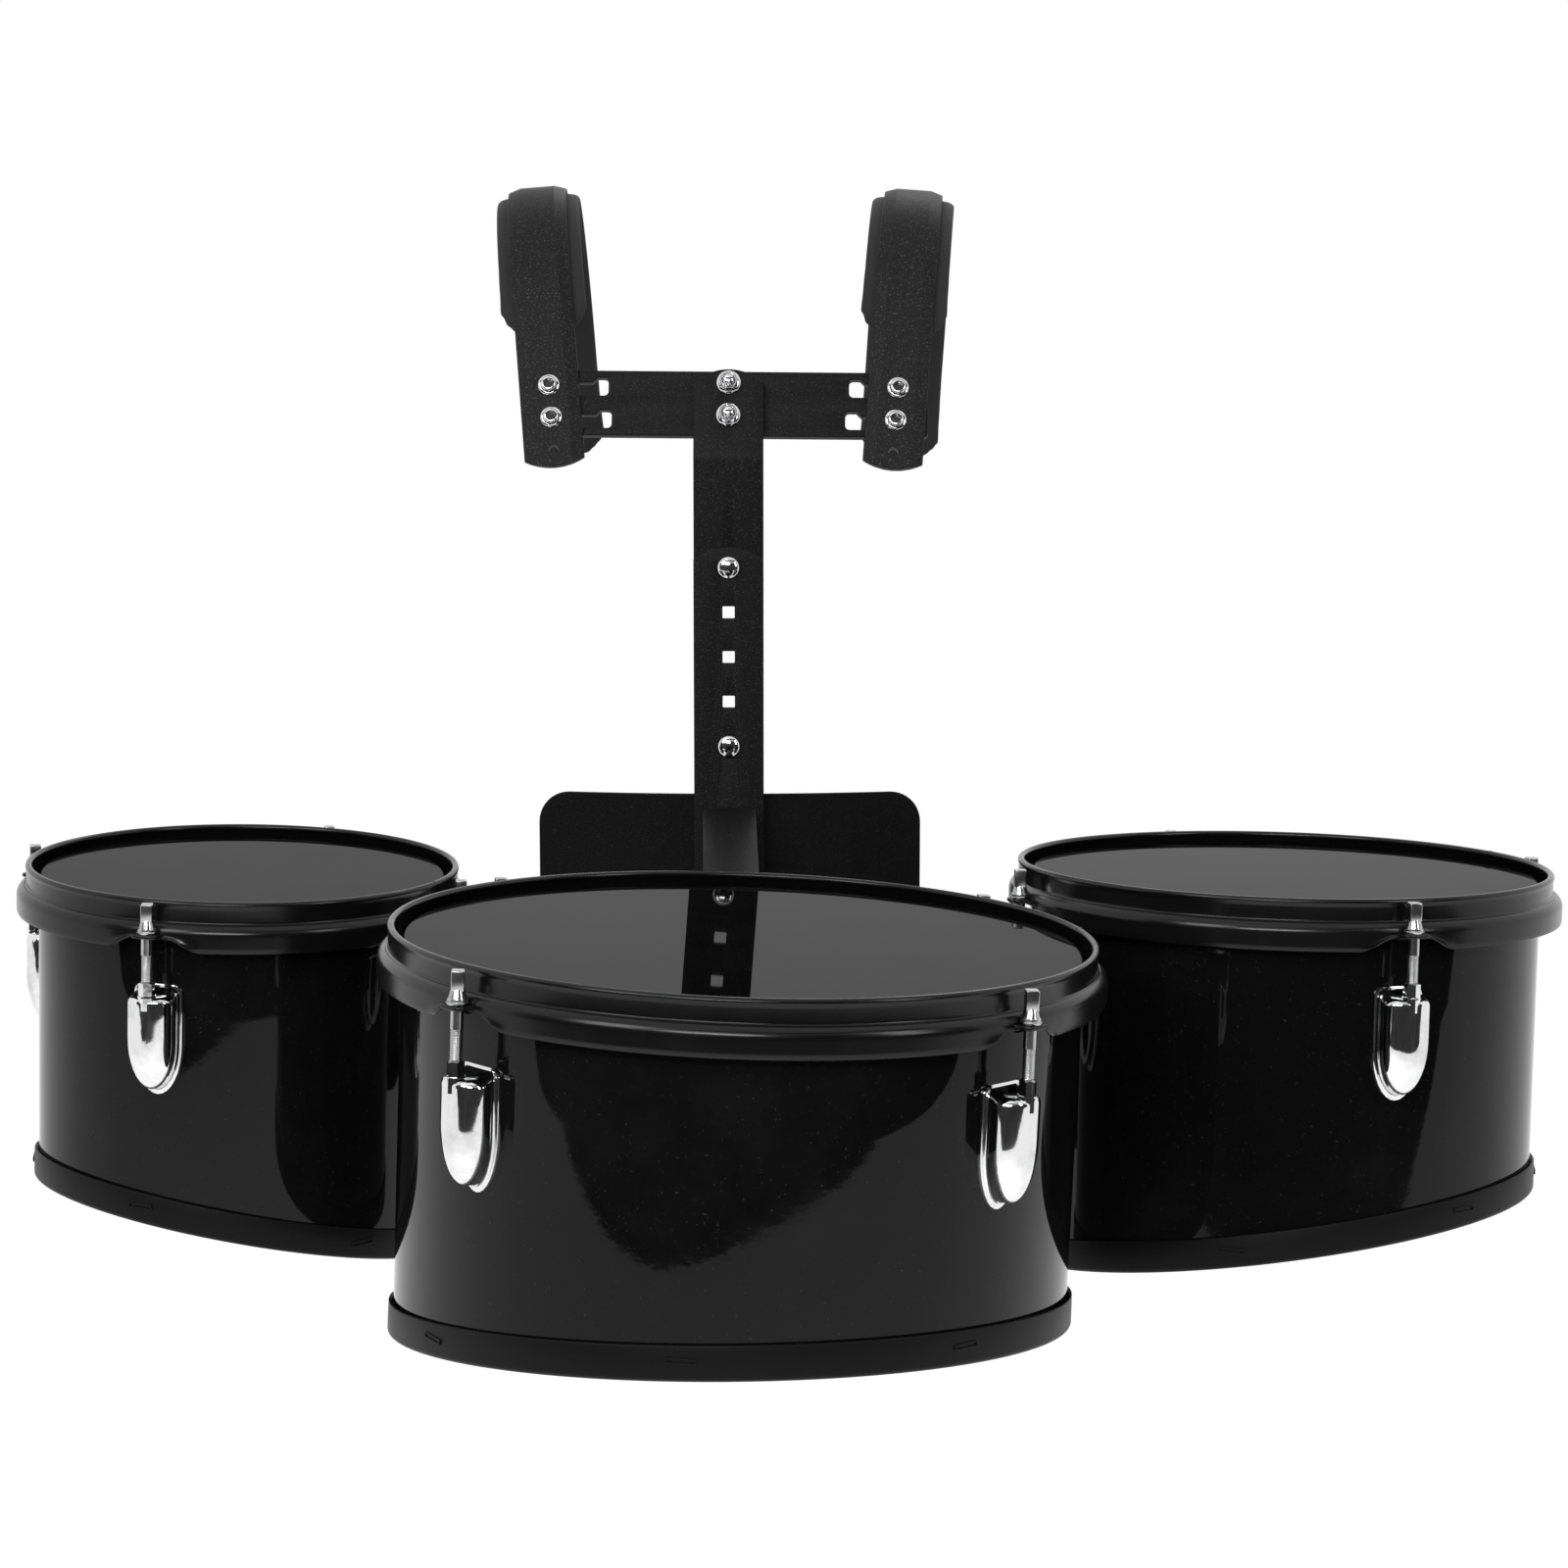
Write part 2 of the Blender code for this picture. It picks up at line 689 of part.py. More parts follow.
def make_drum(name, drum, rod, lug, mount_holes):
    radius = drum["radius"]
    frame = add_frame(f"{name}_drum_frame", drum_matrix(drum))
    slope = slope_of(drum)
    shell = worked(shell_mesh(radius, slope), [("DIFFERENCE", mount_holes)])
    add_object(f"{name}_shell", shell, "shell", frame)
    add_object(f"{name}_head", turned(head_profile(radius), ROUND_STEPS, False), "head", frame)
    add_object(f"{name}_hoop", hoop_mesh(radius), "hoop", frame)
    add_object(f"{name}_edge_guard", guard_mesh(radius, slope), "guard", frame)
    for i in range(RODS_PER_DRUM):
        around = turn_z(360 * i / RODS_PER_DRUM)
        on_shell = around @ Matrix.Translation((0, -radius, 0))
        on_circle = around @ Matrix.Translation((0, -radius - ROD_CIRCLE, 0))
        add_object(f"{name}_lug_{i + 1}", lug, "chrome", frame, on_shell)
        add_object(f"{name}_rod_{i + 1}", rod, "chrome", frame, on_circle)


# Carrier frame: leaning with the crossbar, its origin between the crossbar bolts on the post's face

LEAN_RISE = math.cos(math.radians(CARRIER_LEAN)) * CROSS_BOLTS_ABOVE_BEND
LEAN_RUN = math.sin(math.radians(CARRIER_LEAN)) * CROSS_BOLTS_ABOVE_BEND
CARRIER_ORIGIN = (0.0, POST_FACE + LEAN_RUN, BEND_HEIGHT + LEAN_RISE)
CARRIER_MATRIX = Matrix.Translation(CARRIER_ORIGIN) @ turn_x(-CARRIER_LEAN) @ turn_y(CROSSBAR_ROLL)
LOWER_POST_BACK = POST_FACE - SEAT_GAP
LOWER_POST_FACE = LOWER_POST_BACK - PLATE_THICK
BOTTOM_BOLT = TOP_BOLT - (BOLT_ROW - 1) * HOLE_PITCH


def slot_outline(half_width, top, bottom):
    corner = 0.98 * half_width
    return filleted([
        (-half_width, bottom, corner), (half_width, bottom, corner),
        (half_width, top, corner), (-half_width, top, corner),
    ])


def make_upper_post():
    reach = BOLT_RADIUS + SHANK_PLAY
    slot_top = TOP_BOLT + LIFT_TRAVEL + reach
    slot_bottom = BOTTOM_BOLT - DROP_TRAVEL - reach
    end = slot_bottom - SLOT_END_WEB
    lean = math.radians(CARRIER_LEAN)
    top_along = CROSS_BOLTS_ABOVE_BEND + POST_TOP_ABOVE_BOLTS
    top_y = POST_FACE + top_along * math.sin(lean)
    top_z = BEND_HEIGHT + top_along * math.cos(lean)
    side = strip([
        (POST_FACE, end, 0), (POST_FACE, BEND_HEIGHT, BEND_RADIUS), (top_y, top_z, 0),
    ], -PLATE_THICK)
    body = moved(plate([side], POST_WIDTH), SIDE_ON)
    half = POST_WIDTH / 2
    cap = round_topped(half + 0.0001, 0.0, POST_TOP_SAGITTA, -0.100, 0)
    outside = plate([[(-0.04, -0.03), (0.04, -0.03), (0.04, 0.02), (-0.04, 0.02)]], 0.04)
    keep = plate([cap], 0.05)
    corners = worked(outside, [("DIFFERENCE", keep)])
    leaning = Matrix.Translation((0, top_y, top_z)) @ turn_x(-CARRIER_LEAN) @ FACE_Y
    slot = plate([slot_outline(SLOT_WIDTH / 2, slot_top, slot_bottom)], 4 * PLATE_THICK)
    holes = []
    for side_of in (1, -1):
        hole = cylinder(BOLT_RADIUS + SHANK_PLAY, -0.03, 0.03)
        place = Matrix.Translation((0, 0, side_of * SMALL_PITCH / 2)) @ FACE_Y
        holes.append(moved(hole, CARRIER_MATRIX @ place))
    return add_object("upper_post", worked(body, [
        ("DIFFERENCE", moved(corners, leaning)),
        ("DIFFERENCE", moved(slot, Matrix.Translation((0, POST_FACE, 0)) @ FACE_Y)),
        ("DIFFERENCE", together(holes)),
    ]), "carrier")


def circle(x, y, radius, sides=BOLT_SIDES):
    return [
        (x + radius * math.cos(2 * math.pi * i / sides), y + radius * math.sin(2 * math.pi * i / sides))
        for i in range(sides)
    ]


def square(x, y, size):
    half = size / 2
    return [(x - half, y - half), (x + half, y - half), (x + half, y + half), (x - half, y + half)]


def make_lower_post():
    top = TOP_BOLT + LOWER_POST_TOP_ABOVE_BOLT
    outlines = [round_topped(POST_WIDTH / 2, top, LOWER_POST_SAGITTA, LOWER_POST_END, 0.008)]
    for i in range(BOLT_ROW):
        outlines.append(square(0, TOP_BOLT - i * HOLE_PITCH, SQUARE_HOLE))
    for height in BELLY_SCREWS:
        outlines.append(circle(0, height, BOLT_RADIUS + SHANK_PLAY))
    mesh = moved(plate(outlines, PLATE_THICK), FACE_Y)
    middle = Matrix.Translation((0, (LOWER_POST_BACK + LOWER_POST_FACE) / 2, 0))
    return add_object("lower_post", mesh, "carrier", None, middle)


def strap_slot(side, inner, middle):
    # Stepped up at its inner end, as if to let a screw's head through
    low = middle - STRAP_SLOT_HEIGHT / 2
    high = middle + STRAP_SLOT_HEIGHT / 2
    step = high + STRAP_SLOT_STEP
    corner = STRAP_SLOT_CORNER
    x = [inner, inner + STRAP_SLOT_STEP_WIDTH, inner + STRAP_SLOT_STEP_WIDTH + STRAP_SLOT_STEP]
    corners = [
        (x[0], low, corner), (STRAP_SLOT_OUTER, low, corner), (STRAP_SLOT_OUTER, high, corner),
        (x[2], high, 0), (x[1], step, 0), (x[0], step, corner),
    ]
    return [(side * a, b) for a, b in filleted(corners, 3)]


def make_crossbar(frame):
    low = -CROSSBAR_DROP - CROSSBAR_HEIGHT / 2
    high = -CROSSBAR_DROP + CROSSBAR_HEIGHT / 2
    half = CROSSBAR_HALF_LENGTH
    corner = CROSSBAR_CORNER
    outlines = [filleted([(-half, low, corner), (half, low, corner), (half, high, corner), (-half, high, corner)])]
    for side in (-1, 1):
        for row, inner in STRAP_SLOT_ENDS.items():
            outlines.append(strap_slot(side, inner, row * SMALL_PITCH / 2 - STRAP_SLOT_DROP))
    for row in (1, -1):
        outlines.append(circle(0, row * SMALL_PITCH / 2, BOLT_RADIUS + SHANK_PLAY))
    mesh = moved(plate(outlines, CROSSBAR_THICK), FACE_Y)
    middle = Matrix.Translation((0, PLATE_THICK + SEAT_GAP + CROSSBAR_THICK / 2, 0))
    return add_object("crossbar", mesh, "carrier", frame, middle)


# Straps and pads

def strap_stations(foot, rear, inset):
    # (y, z, outward y, outward z) along the strap's outer face, set in by inset, from the foot up and over
    stations = [(inset, foot, -1.0, 0.0)]
    last = 90 - CARRIER_LEAN
    radius = ARCH_RADIUS - inset
    for i in range(ARCH_STATIONS + 1):
        angle = math.radians(-90 + (90 + last) * i / ARCH_STATIONS)
        outward = (math.sin(angle), math.cos(angle))
        stations.append((
            ARCH_RADIUS + radius * outward[0], STRAP_RISE + radius * outward[1], *outward,
        ))
    y, z, out_y, out_z = stations[-1]
    stations.append((y + rear * out_z, z - rear * out_y, out_y, out_z))
    return stations


def swept(stations, section_at, strap):
    # The section's points are (x, depth below the face, slip along the strap)
    rings = []
    splay = strap["side"] * math.tan(math.radians(strap["splay"]))
    for i, (y, z, out_y, out_z) in enumerate(stations):
        ring = []
        for x, depth, slip in section_at(i):
            at_y = y - depth * out_y + slip * out_z
            at_z = z - depth * out_z - slip * out_y
            ring.append((x + splay * at_y, at_y, at_z))
        rings.append(ring)
    return lofted(rings)


def end_slip(x):
    # How far the rounded end of the strap falls back at this distance from its middle
    return STRAP_END_RADIUS - math.sqrt(STRAP_END_RADIUS ** 2 - x ** 2)


def strap_section(last):
    half = STRAP_WIDTH / 2
    flat = STRAP_FLAT / 2
    across = [(-half, STRAP_BEVEL), (-flat, 0), (0, 0), (flat, 0), (half, STRAP_BEVEL)]

    def section_at(i):
        if i == 0:
            sign = 1
        elif i == last:
            sign = -1
        else:
            sign = 0
        front = [(x, depth, sign * end_slip(x)) for x, depth in across]
        back = [(x, PLATE_THICK, sign * end_slip(x)) for x, _ in reversed(across)]
        return front + back

    return section_at


def pad_section(last):
    # Flat on the strap, crowned towards the shoulder, with thin drawn-in sides
    def section_at(i):
        half = PAD_WIDTH / 2 - (PAD_CHAMFER if i in (0, last) else 0)
        edge = PAD_THICK - PAD_EDGE_DRAW
        outer = [(-half, 0.0012), (-half + 0.002, 0), (0, 0), (half - 0.002, 0), (half, 0.0012)]
        inner = [
            (half, edge - 0.0010), (0.86 * half, edge + 0.0014), (0, PAD_THICK),
            (-0.86 * half, edge + 0.0014), (-half, edge - 0.0010),
        ]
        return [(x, depth, 0) for x, depth in outer + inner]

    return section_at


def strap_matrix(strap):
    return Matrix.Translation((strap["out"], 0, -STRAP_ROW_DROP)) @ turn_y(strap["side"] * strap["lean"])


def make_strap(name, strap, carrier, screw):
    frame = add_frame(f"{name}_strap_frame", Matrix.Identity(4))
    frame.parent = carrier
    frame.matrix_local = strap_matrix(strap)
    stations = strap_stations(-STRAP_FOOT, REAR_ARM, 0)
    bar = swept(stations, strap_section(len(stations) - 1), strap)
    holes = []
    for row, radius in ((0.5, BOLT_RADIUS + SHANK_PLAY), (-0.5, BOLT_RADIUS + SHANK_PLAY), (-1.5, FREE_HOLE_RADIUS)):
        place = Matrix.Translation((0, 0, row * SMALL_PITCH)) @ FACE_Y
        holes.append(moved(cylinder(radius, -0.02, 0.02), place))
    add_object(f"{name}_strap", worked(bar, [("DIFFERENCE", together(holes))]), "carrier", frame)
    inset = PLATE_THICK + SEAT_GAP
    runs = strap_stations(STRAP_RISE - PAD_FOOT, PAD_REAR, inset)
    front = strap_stations(STRAP_RISE - PAD_FOOT + PAD_CHAMFER_RUN, 0, inset)[0]
    back = strap_stations(0, PAD_REAR - PAD_CHAMFER_RUN, inset)[-1]
    runs = [runs[0], front] + runs[1:-1] + [back, runs[-1]]
    add_object(f"{name}_pad", swept(runs, pad_section(len(runs) - 1), strap), "foam", frame)
    for row, level in (("upper", 0.5), ("lower", -0.5)):
        place = Matrix.Translation((0, 0, level * SMALL_PITCH)) @ FACE_Y
        add_object(f"{name}_strap_screw_{row}", screw, "chrome", frame, place)


# Belly plate and pad

def belly_columns(inset):
    # (x, half height) across the plate, with the rounded corners
    half = BELLY_WIDTH / 2 - inset
    tall = BELLY_HEIGHT / 2 - inset
    inner = half - BELLY_CORNER
    columns = []
    for i in range(CORNER_STEPS + 1):
        angle = math.radians(90 * i / CORNER_STEPS)
        columns.append((inner + BELLY_CORNER * math.cos(angle), tall - BELLY_CORNER + BELLY_CORNER * math.sin(angle)))
    for i in range(1, BELLY_STATIONS):
        columns.append((inner * (1 - i / BELLY_STATIONS), tall))
    return columns + [(0.0, tall)] + [(-x, h) for x, h in reversed(columns)]


def bowed(x, y):
    return y + BELLY_CURVE - math.sqrt(BELLY_CURVE ** 2 - x ** 2)


BELLY_FACE = POST_FACE + PLATE_THICK + SEAT_GAP
BELLY_MIDDLE = BELLY_TOP - BELLY_HEIGHT / 2


def make_belly_plate():
    rings = []
    for x, half in belly_columns(0):
        front = bowed(x, BELLY_FACE)
        back = front + BELLY_THICK
        rings.append([
            (x, front, BELLY_MIDDLE + half), (x, front, BELLY_MIDDLE - half),
            (x, back, BELLY_MIDDLE - half), (x, back, BELLY_MIDDLE + half),
        ])
    half = POST_WIDTH / 2
    boss = box(
        (-half, POST_FACE, BELLY_BOSS_TOP - BELLY_BOSS_HEIGHT),
        (half, BELLY_FACE + BELLY_THICK / 2, BELLY_BOSS_TOP),
    )
    back = BELLY_FACE + BELLY_THICK
    holes = []
    sinks = []
    for height in BELLY_SCREWS:
        place = Matrix.Translation((0, back, height)) @ FACE_Y
        holes.append(moved(cylinder(BOLT_RADIUS + SHANK_PLAY, -0.001, 0.02), place))
        sink = cylinder(
            COUNTERSINK_RADIUS + 2 * SHANK_PLAY, -0.0002, BELLY_THICK,
            end_radius=BOLT_RADIUS + SHANK_PLAY,
        )
        sinks.append(moved(sink, place))
    return add_object("belly_plate", worked(lofted(rings), [
        ("UNION", boss),
        ("DIFFERENCE", together(holes)),
        ("DIFFERENCE", together(sinks)),
    ]), "carrier")


def make_belly_pad():
    # Flat on the plate, rounded at the rim and crowned towards the player
    rings = []
    start = BELLY_FACE + BELLY_THICK + SEAT_GAP
    rim = 0.35 * BELLY_PAD_THICK
    for x, half in belly_columns(0.0005):
        front = bowed(x, start)
        edge = 1 - (abs(x) / (BELLY_WIDTH / 2)) ** 4
        swell = BELLY_PAD_THICK - BELLY_PAD_CROWN + BELLY_PAD_CROWN * edge
        thick = swell - (BELLY_PAD_THICK - BELLY_PAD_CROWN - rim) * (1 - min(1.0, 12 * edge))
        shoulder = half - 0.006
        rings.append([
            (x, front, BELLY_MIDDLE + half), (x, front, BELLY_MIDDLE),
            (x, front, BELLY_MIDDLE - half), (x, front + rim, BELLY_MIDDLE - half - 0.0003),
            (x, front + thick - 0.002, BELLY_MIDDLE - shoulder), (x, front + thick, BELLY_MIDDLE),
            (x, front + thick - 0.002, BELLY_MIDDLE + shoulder), (x, front + rim, BELLY_MIDDLE + half + 0.0003),
        ])
    return add_object("belly_pad", lofted(rings), "foam")


# Bracket

def axis_at(name, level):
    # Where the axis of a drum, which hangs a little out of plumb, passes this height
    centre = Vector(DRUMS[name]["centre"])
    down = drum_matrix(DRUMS[name]).to_3x3().col[2]
    return (centre + down * (level - centre.z) / down.z).xy


ARM_REAR = LOWER_POST_FACE - SEAT_GAP
ARM_TAN = math.tan(math.radians(ARM_SLOPE))
LARGE_BACK = axis_at("large", ARM_FRONT_TAB_END).y + DRUMS["large"]["radius"] + WALL_CLEARANCE
RAIL_FACE = LOWER_POST_FACE - RAIL_FROM_POST


def arm_top_at(y):
    return ARM_TOP + (y - ARM_REAR) * ARM_TAN


def arm_middle_at(y):
    # The arm runs a little askew, towards the middle of the large drum
    return (ARM_REAR - y) * math.tan(math.radians(ARM_SKEW))


RAIL_TOP = arm_top_at(RAIL_FACE) - ARM_THICK / math.cos(math.radians(ARM_SLOPE)) - SEAT_GAP
RAIL_MIDDLE = RAIL_TOP - RAIL_HEIGHT / 2
ARM_MOUNT_MIDDLE = (ARM_FRONT_TAB_END + arm_top_at(LARGE_BACK)) / 2 - 0.003


def mount_side(name):
    # (point on the shell, outward direction) in plan, where the rail's end meets a side drum
    angle = math.radians(MOUNTS[name])
    outward = Vector((math.sin(angle), -math.cos(angle)))
    ends = [axis_at(name, RAIL_TOP), axis_at(name, RAIL_TOP - RAIL_HEIGHT)]
    nearest = max(ends, key=outward.dot)
    return nearest + outward * (DRUMS[name]["radius"] + WALL_CLEARANCE), outward


def mount_levels(middle):
    return (middle + MOUNT_PITCH / 2, middle - MOUNT_PITCH / 2)


def make_support_arm():
    side = strip([
        (ARM_REAR, ARM_REAR_TAB_END, 0),
        (ARM_REAR, ARM_TOP, ARM_BEND),
        (LARGE_BACK, arm_top_at(LARGE_BACK), ARM_BEND),
        (LARGE_BACK, ARM_FRONT_TAB_END, 0),
    ], ARM_THICK)
    body = moved(plate([side], ARM_WIDTH), SIDE_ON)
    for vertex in body.vertices:
        vertex.co.x += arm_middle_at(vertex.co.y)
    holes = []
    for height in BELLY_SCREWS:
        place = Matrix.Translation((0, ARM_REAR, height)) @ FACE_Y
        holes.append(moved(cylinder(BOLT_RADIUS + SHANK_PLAY, -0.012, 0.012), place))
    for height in mount_levels(ARM_MOUNT_MIDDLE):
        place = Matrix.Translation((arm_middle_at(LARGE_BACK), LARGE_BACK, height)) @ FACE_Y
        holes.append(moved(cylinder(BOLT_RADIUS + SHANK_PLAY, -0.012, 0.012), place))
    return add_object("support_arm", worked(body, [("DIFFERENCE", together(holes))]), "carrier")


def make_rail():
    left, left_out = mount_side("small")
    right, right_out = mount_side("medium")
    left_along = Vector((-left_out.y, left_out.x))
    right_along = Vector((right_out.y, -right_out.x))
    left_end = left + left_along * RAIL_FLANGE_END
    right_end = right + right_along * RAIL_FLANGE_END
    left_bend = left + left_along * (RAIL_FACE - left.y) / left_along.y
    right_bend = right + right_along * (RAIL_FACE - right.y) / right_along.y
    outline = strip([
        (left_end.x, left_end.y, 0), (left_bend.x, RAIL_FACE, RAIL_BEND),
        (right_bend.x, RAIL_FACE, RAIL_BEND), (right_end.x, right_end.y, 0),
    ], RAIL_THICK)
    body = moved(plate([outline], RAIL_HEIGHT), Matrix.Translation((0, 0, RAIL_MIDDLE)))
    holes = []
    for name in MOUNTS:
        for bolt in mount_bolts_at(name):
            holes.append(moved(cylinder(BOLT_RADIUS + SHANK_PLAY, -0.012, 0.012), bolt))
    return add_object("drum_rail", worked(body, [("DIFFERENCE", together(holes))]), "carrier")


def mount_bolts_at(name):
    # The two bolts that hold this drum: Z along each, towards the drum, from the bracket's drum side
    if name in MOUNTS:
        point, outward = mount_side(name)
        levels = mount_levels(RAIL_MIDDLE)
    else:
        point, outward = Vector((arm_middle_at(LARGE_BACK), LARGE_BACK)), Vector((0.0, 1.0))
        levels = mount_levels(ARM_MOUNT_MIDDLE)
    inward = Vector((-outward.x, -outward.y, 0.0))
    facing = inward.to_track_quat("Z", "Y").to_matrix().to_4x4()
    return [Matrix.Translation((point.x, point.y, level)) @ facing for level in levels]


# Fasteners, along Z with the head at +Z

def fused(shapes):
    return worked(shapes[0], [("UNION", shape) for shape in shapes[1:]])


def plain_nut(seat):
    # A hexagonal nut below its seat
    return hexagon(NUT_WIDTH, seat - NUT_HEIGHT, seat)


def screw_mesh():
    # Button head with a hexagonal socket, washer, and a nut behind the crossbar
    grip = -(2 * SEAT_GAP + PLATE_THICK + CROSSBAR_THICK)
    head = turned([
        (0.0, WASHER_THICK + BUTTON_HEIGHT + SEAT_GAP),
        (0.5 * BUTTON_RADIUS, WASHER_THICK + BUTTON_HEIGHT),
        (BUTTON_RADIUS, WASHER_THICK + 0.4 * BUTTON_HEIGHT),
        (BUTTON_RADIUS, WASHER_THICK + SEAT_GAP / 2),
        (WASHER_RADIUS, WASHER_THICK + SEAT_GAP / 2),
        (WASHER_RADIUS, SEAT_GAP),
        (BOLT_RADIUS, SEAT_GAP),
        (BOLT_RADIUS, grip - NUT_HEIGHT - BOLT_STICK_OUT),
        (0.0, grip - NUT_HEIGHT - BOLT_STICK_OUT),
    ], BOLT_SIDES, False)
    top = WASHER_THICK + BUTTON_HEIGHT
    socket = hexagon(SOCKET_ACROSS, top - SOCKET_DEPTH, top + 0.002)
    return worked(head, [("DIFFERENCE", socket), ("UNION", plain_nut(grip - SEAT_GAP))])


def cross_bolt_mesh():
    # Flange nut and bolt end in front of the post, button head behind the crossbar
    grip = -(SEAT_GAP + PLATE_THICK + CROSSBAR_THICK)
    start = SEAT_GAP
    shank = cylinder(BOLT_RADIUS, grip - 0.002, start + NUT_HEIGHT + BOLT_STICK_OUT)
    head = cylinder(WASHER_RADIUS, grip - SEAT_GAP - BUTTON_HEIGHT, grip - SEAT_GAP)
    nut = hexagon(NUT_WIDTH, start, start + NUT_HEIGHT)
    flange = cylinder(NUT_FLANGE_RADIUS, start, start + NUT_FLANGE)
    return fused([shank, head, nut, flange])


def carriage_bolt_mesh():
    # Domed head, square neck in the lower post, and a nut behind the upper post
    back = -(2 * SEAT_GAP + 2 * PLATE_THICK)
    dome = []
    for i in range(5):
        angle = math.radians(90 * i / 4)
        dome.append((DOME_RADIUS * math.sin(angle), SEAT_GAP + DOME_HEIGHT * math.cos(angle)))
    end = back - NUT_HEIGHT - BOLT_STICK_OUT
    body = turned(dome + [(BOLT_RADIUS, SEAT_GAP), (BOLT_RADIUS, end), (0.0, end)], BOLT_SIDES, False)
    half = SQUARE_NECK / 2
    neck = box((-half, -half, -0.9 * PLATE_THICK), (half, half, SEAT_GAP + 0.0005))
    return fused([body, neck, plain_nut(back)])


def belly_screw_mesh():
    # Countersunk head flush in the belly plate, nut on the arm's tab
    # Z = 0 is the belly plate's back
    through = BELLY_FACE + BELLY_THICK - ARM_REAR + ARM_THICK + SEAT_GAP
    head = cylinder(BOLT_RADIUS, -BELLY_THICK + SEAT_GAP, -0.0002, end_radius=COUNTERSINK_RADIUS)
    shank = cylinder(BOLT_RADIUS, -through - NUT_HEIGHT - BOLT_STICK_OUT, -0.001)
    return fused([shank, head, plain_nut(-through)])


def wall_depth(name, bolts):
    # How far in from the bracket's face the inside of the shell lies, at the corners of the backing plate
    to_drum = drum_matrix(DRUMS[name]).inverted()
    inner = DRUMS[name]["radius"] - SHELL_WALL
    depths = []
    for bolt in bolts:
        for x in (-BACKING_WIDTH / 2, BACKING_WIDTH / 2):
            start = to_drum @ bolt @ Vector((x, 0.0, 0.0))
            along = (to_drum @ bolt).to_3x3().col[2]
            square_of = along.xy.length_squared
            half_way = start.xy.dot(along.xy) / square_of
            depths.append(-half_way - math.sqrt(half_way ** 2 - (start.xy.length_squared - inner ** 2) / square_of))
    return max(depths) + inner * (1 - math.cos(math.pi / ROUND_STEPS))


def mount_bolts_mesh(thick, inside):
    # A backing plate inside the shell with two bolts, their nuts behind the bracket
    # Z = 0 is the bracket's face on the drum, and +Z points into the drum
    half = MOUNT_PITCH / 2
    backing = box(
        (-BACKING_WIDTH / 2, -half - BACKING_WIDTH / 2, inside),
        (BACKING_WIDTH / 2, half + BACKING_WIDTH / 2, inside + BACKING_THICK),
    )
    back = -thick - SEAT_GAP
    shapes = [backing]
    for level in (half, -half):
        place = Matrix.Translation((0, level, 0))
        shapes.append(moved(cylinder(BOLT_RADIUS, back - NUT_HEIGHT - BOLT_STICK_OUT, inside + 0.001), place))
        shapes.append(moved(plain_nut(back), place))
    return fused(shapes)


def make_fasteners(carrier):
    cross_bolt = cross_bolt_mesh()
    for row, level in (("upper", 0.5), ("lower", -0.5)):
        place = Matrix.Translation((0, 0, level * SMALL_PITCH)) @ FACE_Y
        add_object(f"crossbar_bolt_{row}", cross_bolt, "chrome", carrier, place)
    carriage_bolt = carriage_bolt_mesh()
    for row, height in (("upper", TOP_BOLT), ("lower", BOTTOM_BOLT)):
        place = Matrix.Translation((0, LOWER_POST_FACE, height)) @ FACE_Y
        add_object(f"carriage_bolt_{row}", carriage_bolt, "chrome", None, place)
    belly_screw = belly_screw_mesh()
    for row, height in zip(("upper", "lower"), BELLY_SCREWS):
        place = Matrix.Translation((0, BELLY_FACE + BELLY_THICK, height)) @ turn_x(-90)
        add_object(f"belly_screw_{row}", belly_screw, "chrome", None, place)
    for name in DRUMS:
        thick = RAIL_THICK if name in MOUNTS else ARM_THICK
        upper, lower = mount_bolts_at(name)
        middle = Matrix.Translation((upper.translation + lower.translation) / 2) @ upper.to_3x3().to_4x4()
        inside = wall_depth(name, (upper, lower)) + WALL_CLEARANCE
        add_object(f"{name}_mount_bolts", mount_bolts_mesh(thick, inside), "chrome", None, middle)


def mount_holes(name):
    # Holes in the shell for its mount bolts, in the drum's own frame
    to_drum = drum_matrix(DRUMS[name]).inverted()
    holes = []
    for bolt in mount_bolts_at(name):
        hole = cylinder(BOLT_RADIUS + 2 * SHANK_PLAY, -0.006, 0.016)
        holes.append(moved(hole, to_drum @ bolt))
    return together(holes)


rod_shape = rod_mesh()
lug_shape = lug_mesh()
for drum_name, drum_sizes in DRUMS.items():
    make_drum(drum_name, drum_sizes, rod_shape, lug_shape, mount_holes(drum_name))

carrier_frame = add_frame("carrier_frame", CARRIER_MATRIX)
make_upper_post()
make_lower_post()
make_crossbar(carrier_frame)
strap_screw = screw_mesh()
for strap_name, strap_sizes in STRAPS.items():
    make_strap(strap_name, strap_sizes, carrier_frame, strap_screw)
make_belly_plate()
make_belly_pad()
make_support_arm()
make_rail()
make_fasteners(carrier_frame)
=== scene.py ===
# Looks of the marching tenor drums: finish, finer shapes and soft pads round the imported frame.
# Metres, +Z up, the same frame as the solids: the audience is at -Y and the player at +Y.
import math

import bmesh
import bpy
from mathutils import Matrix, Vector


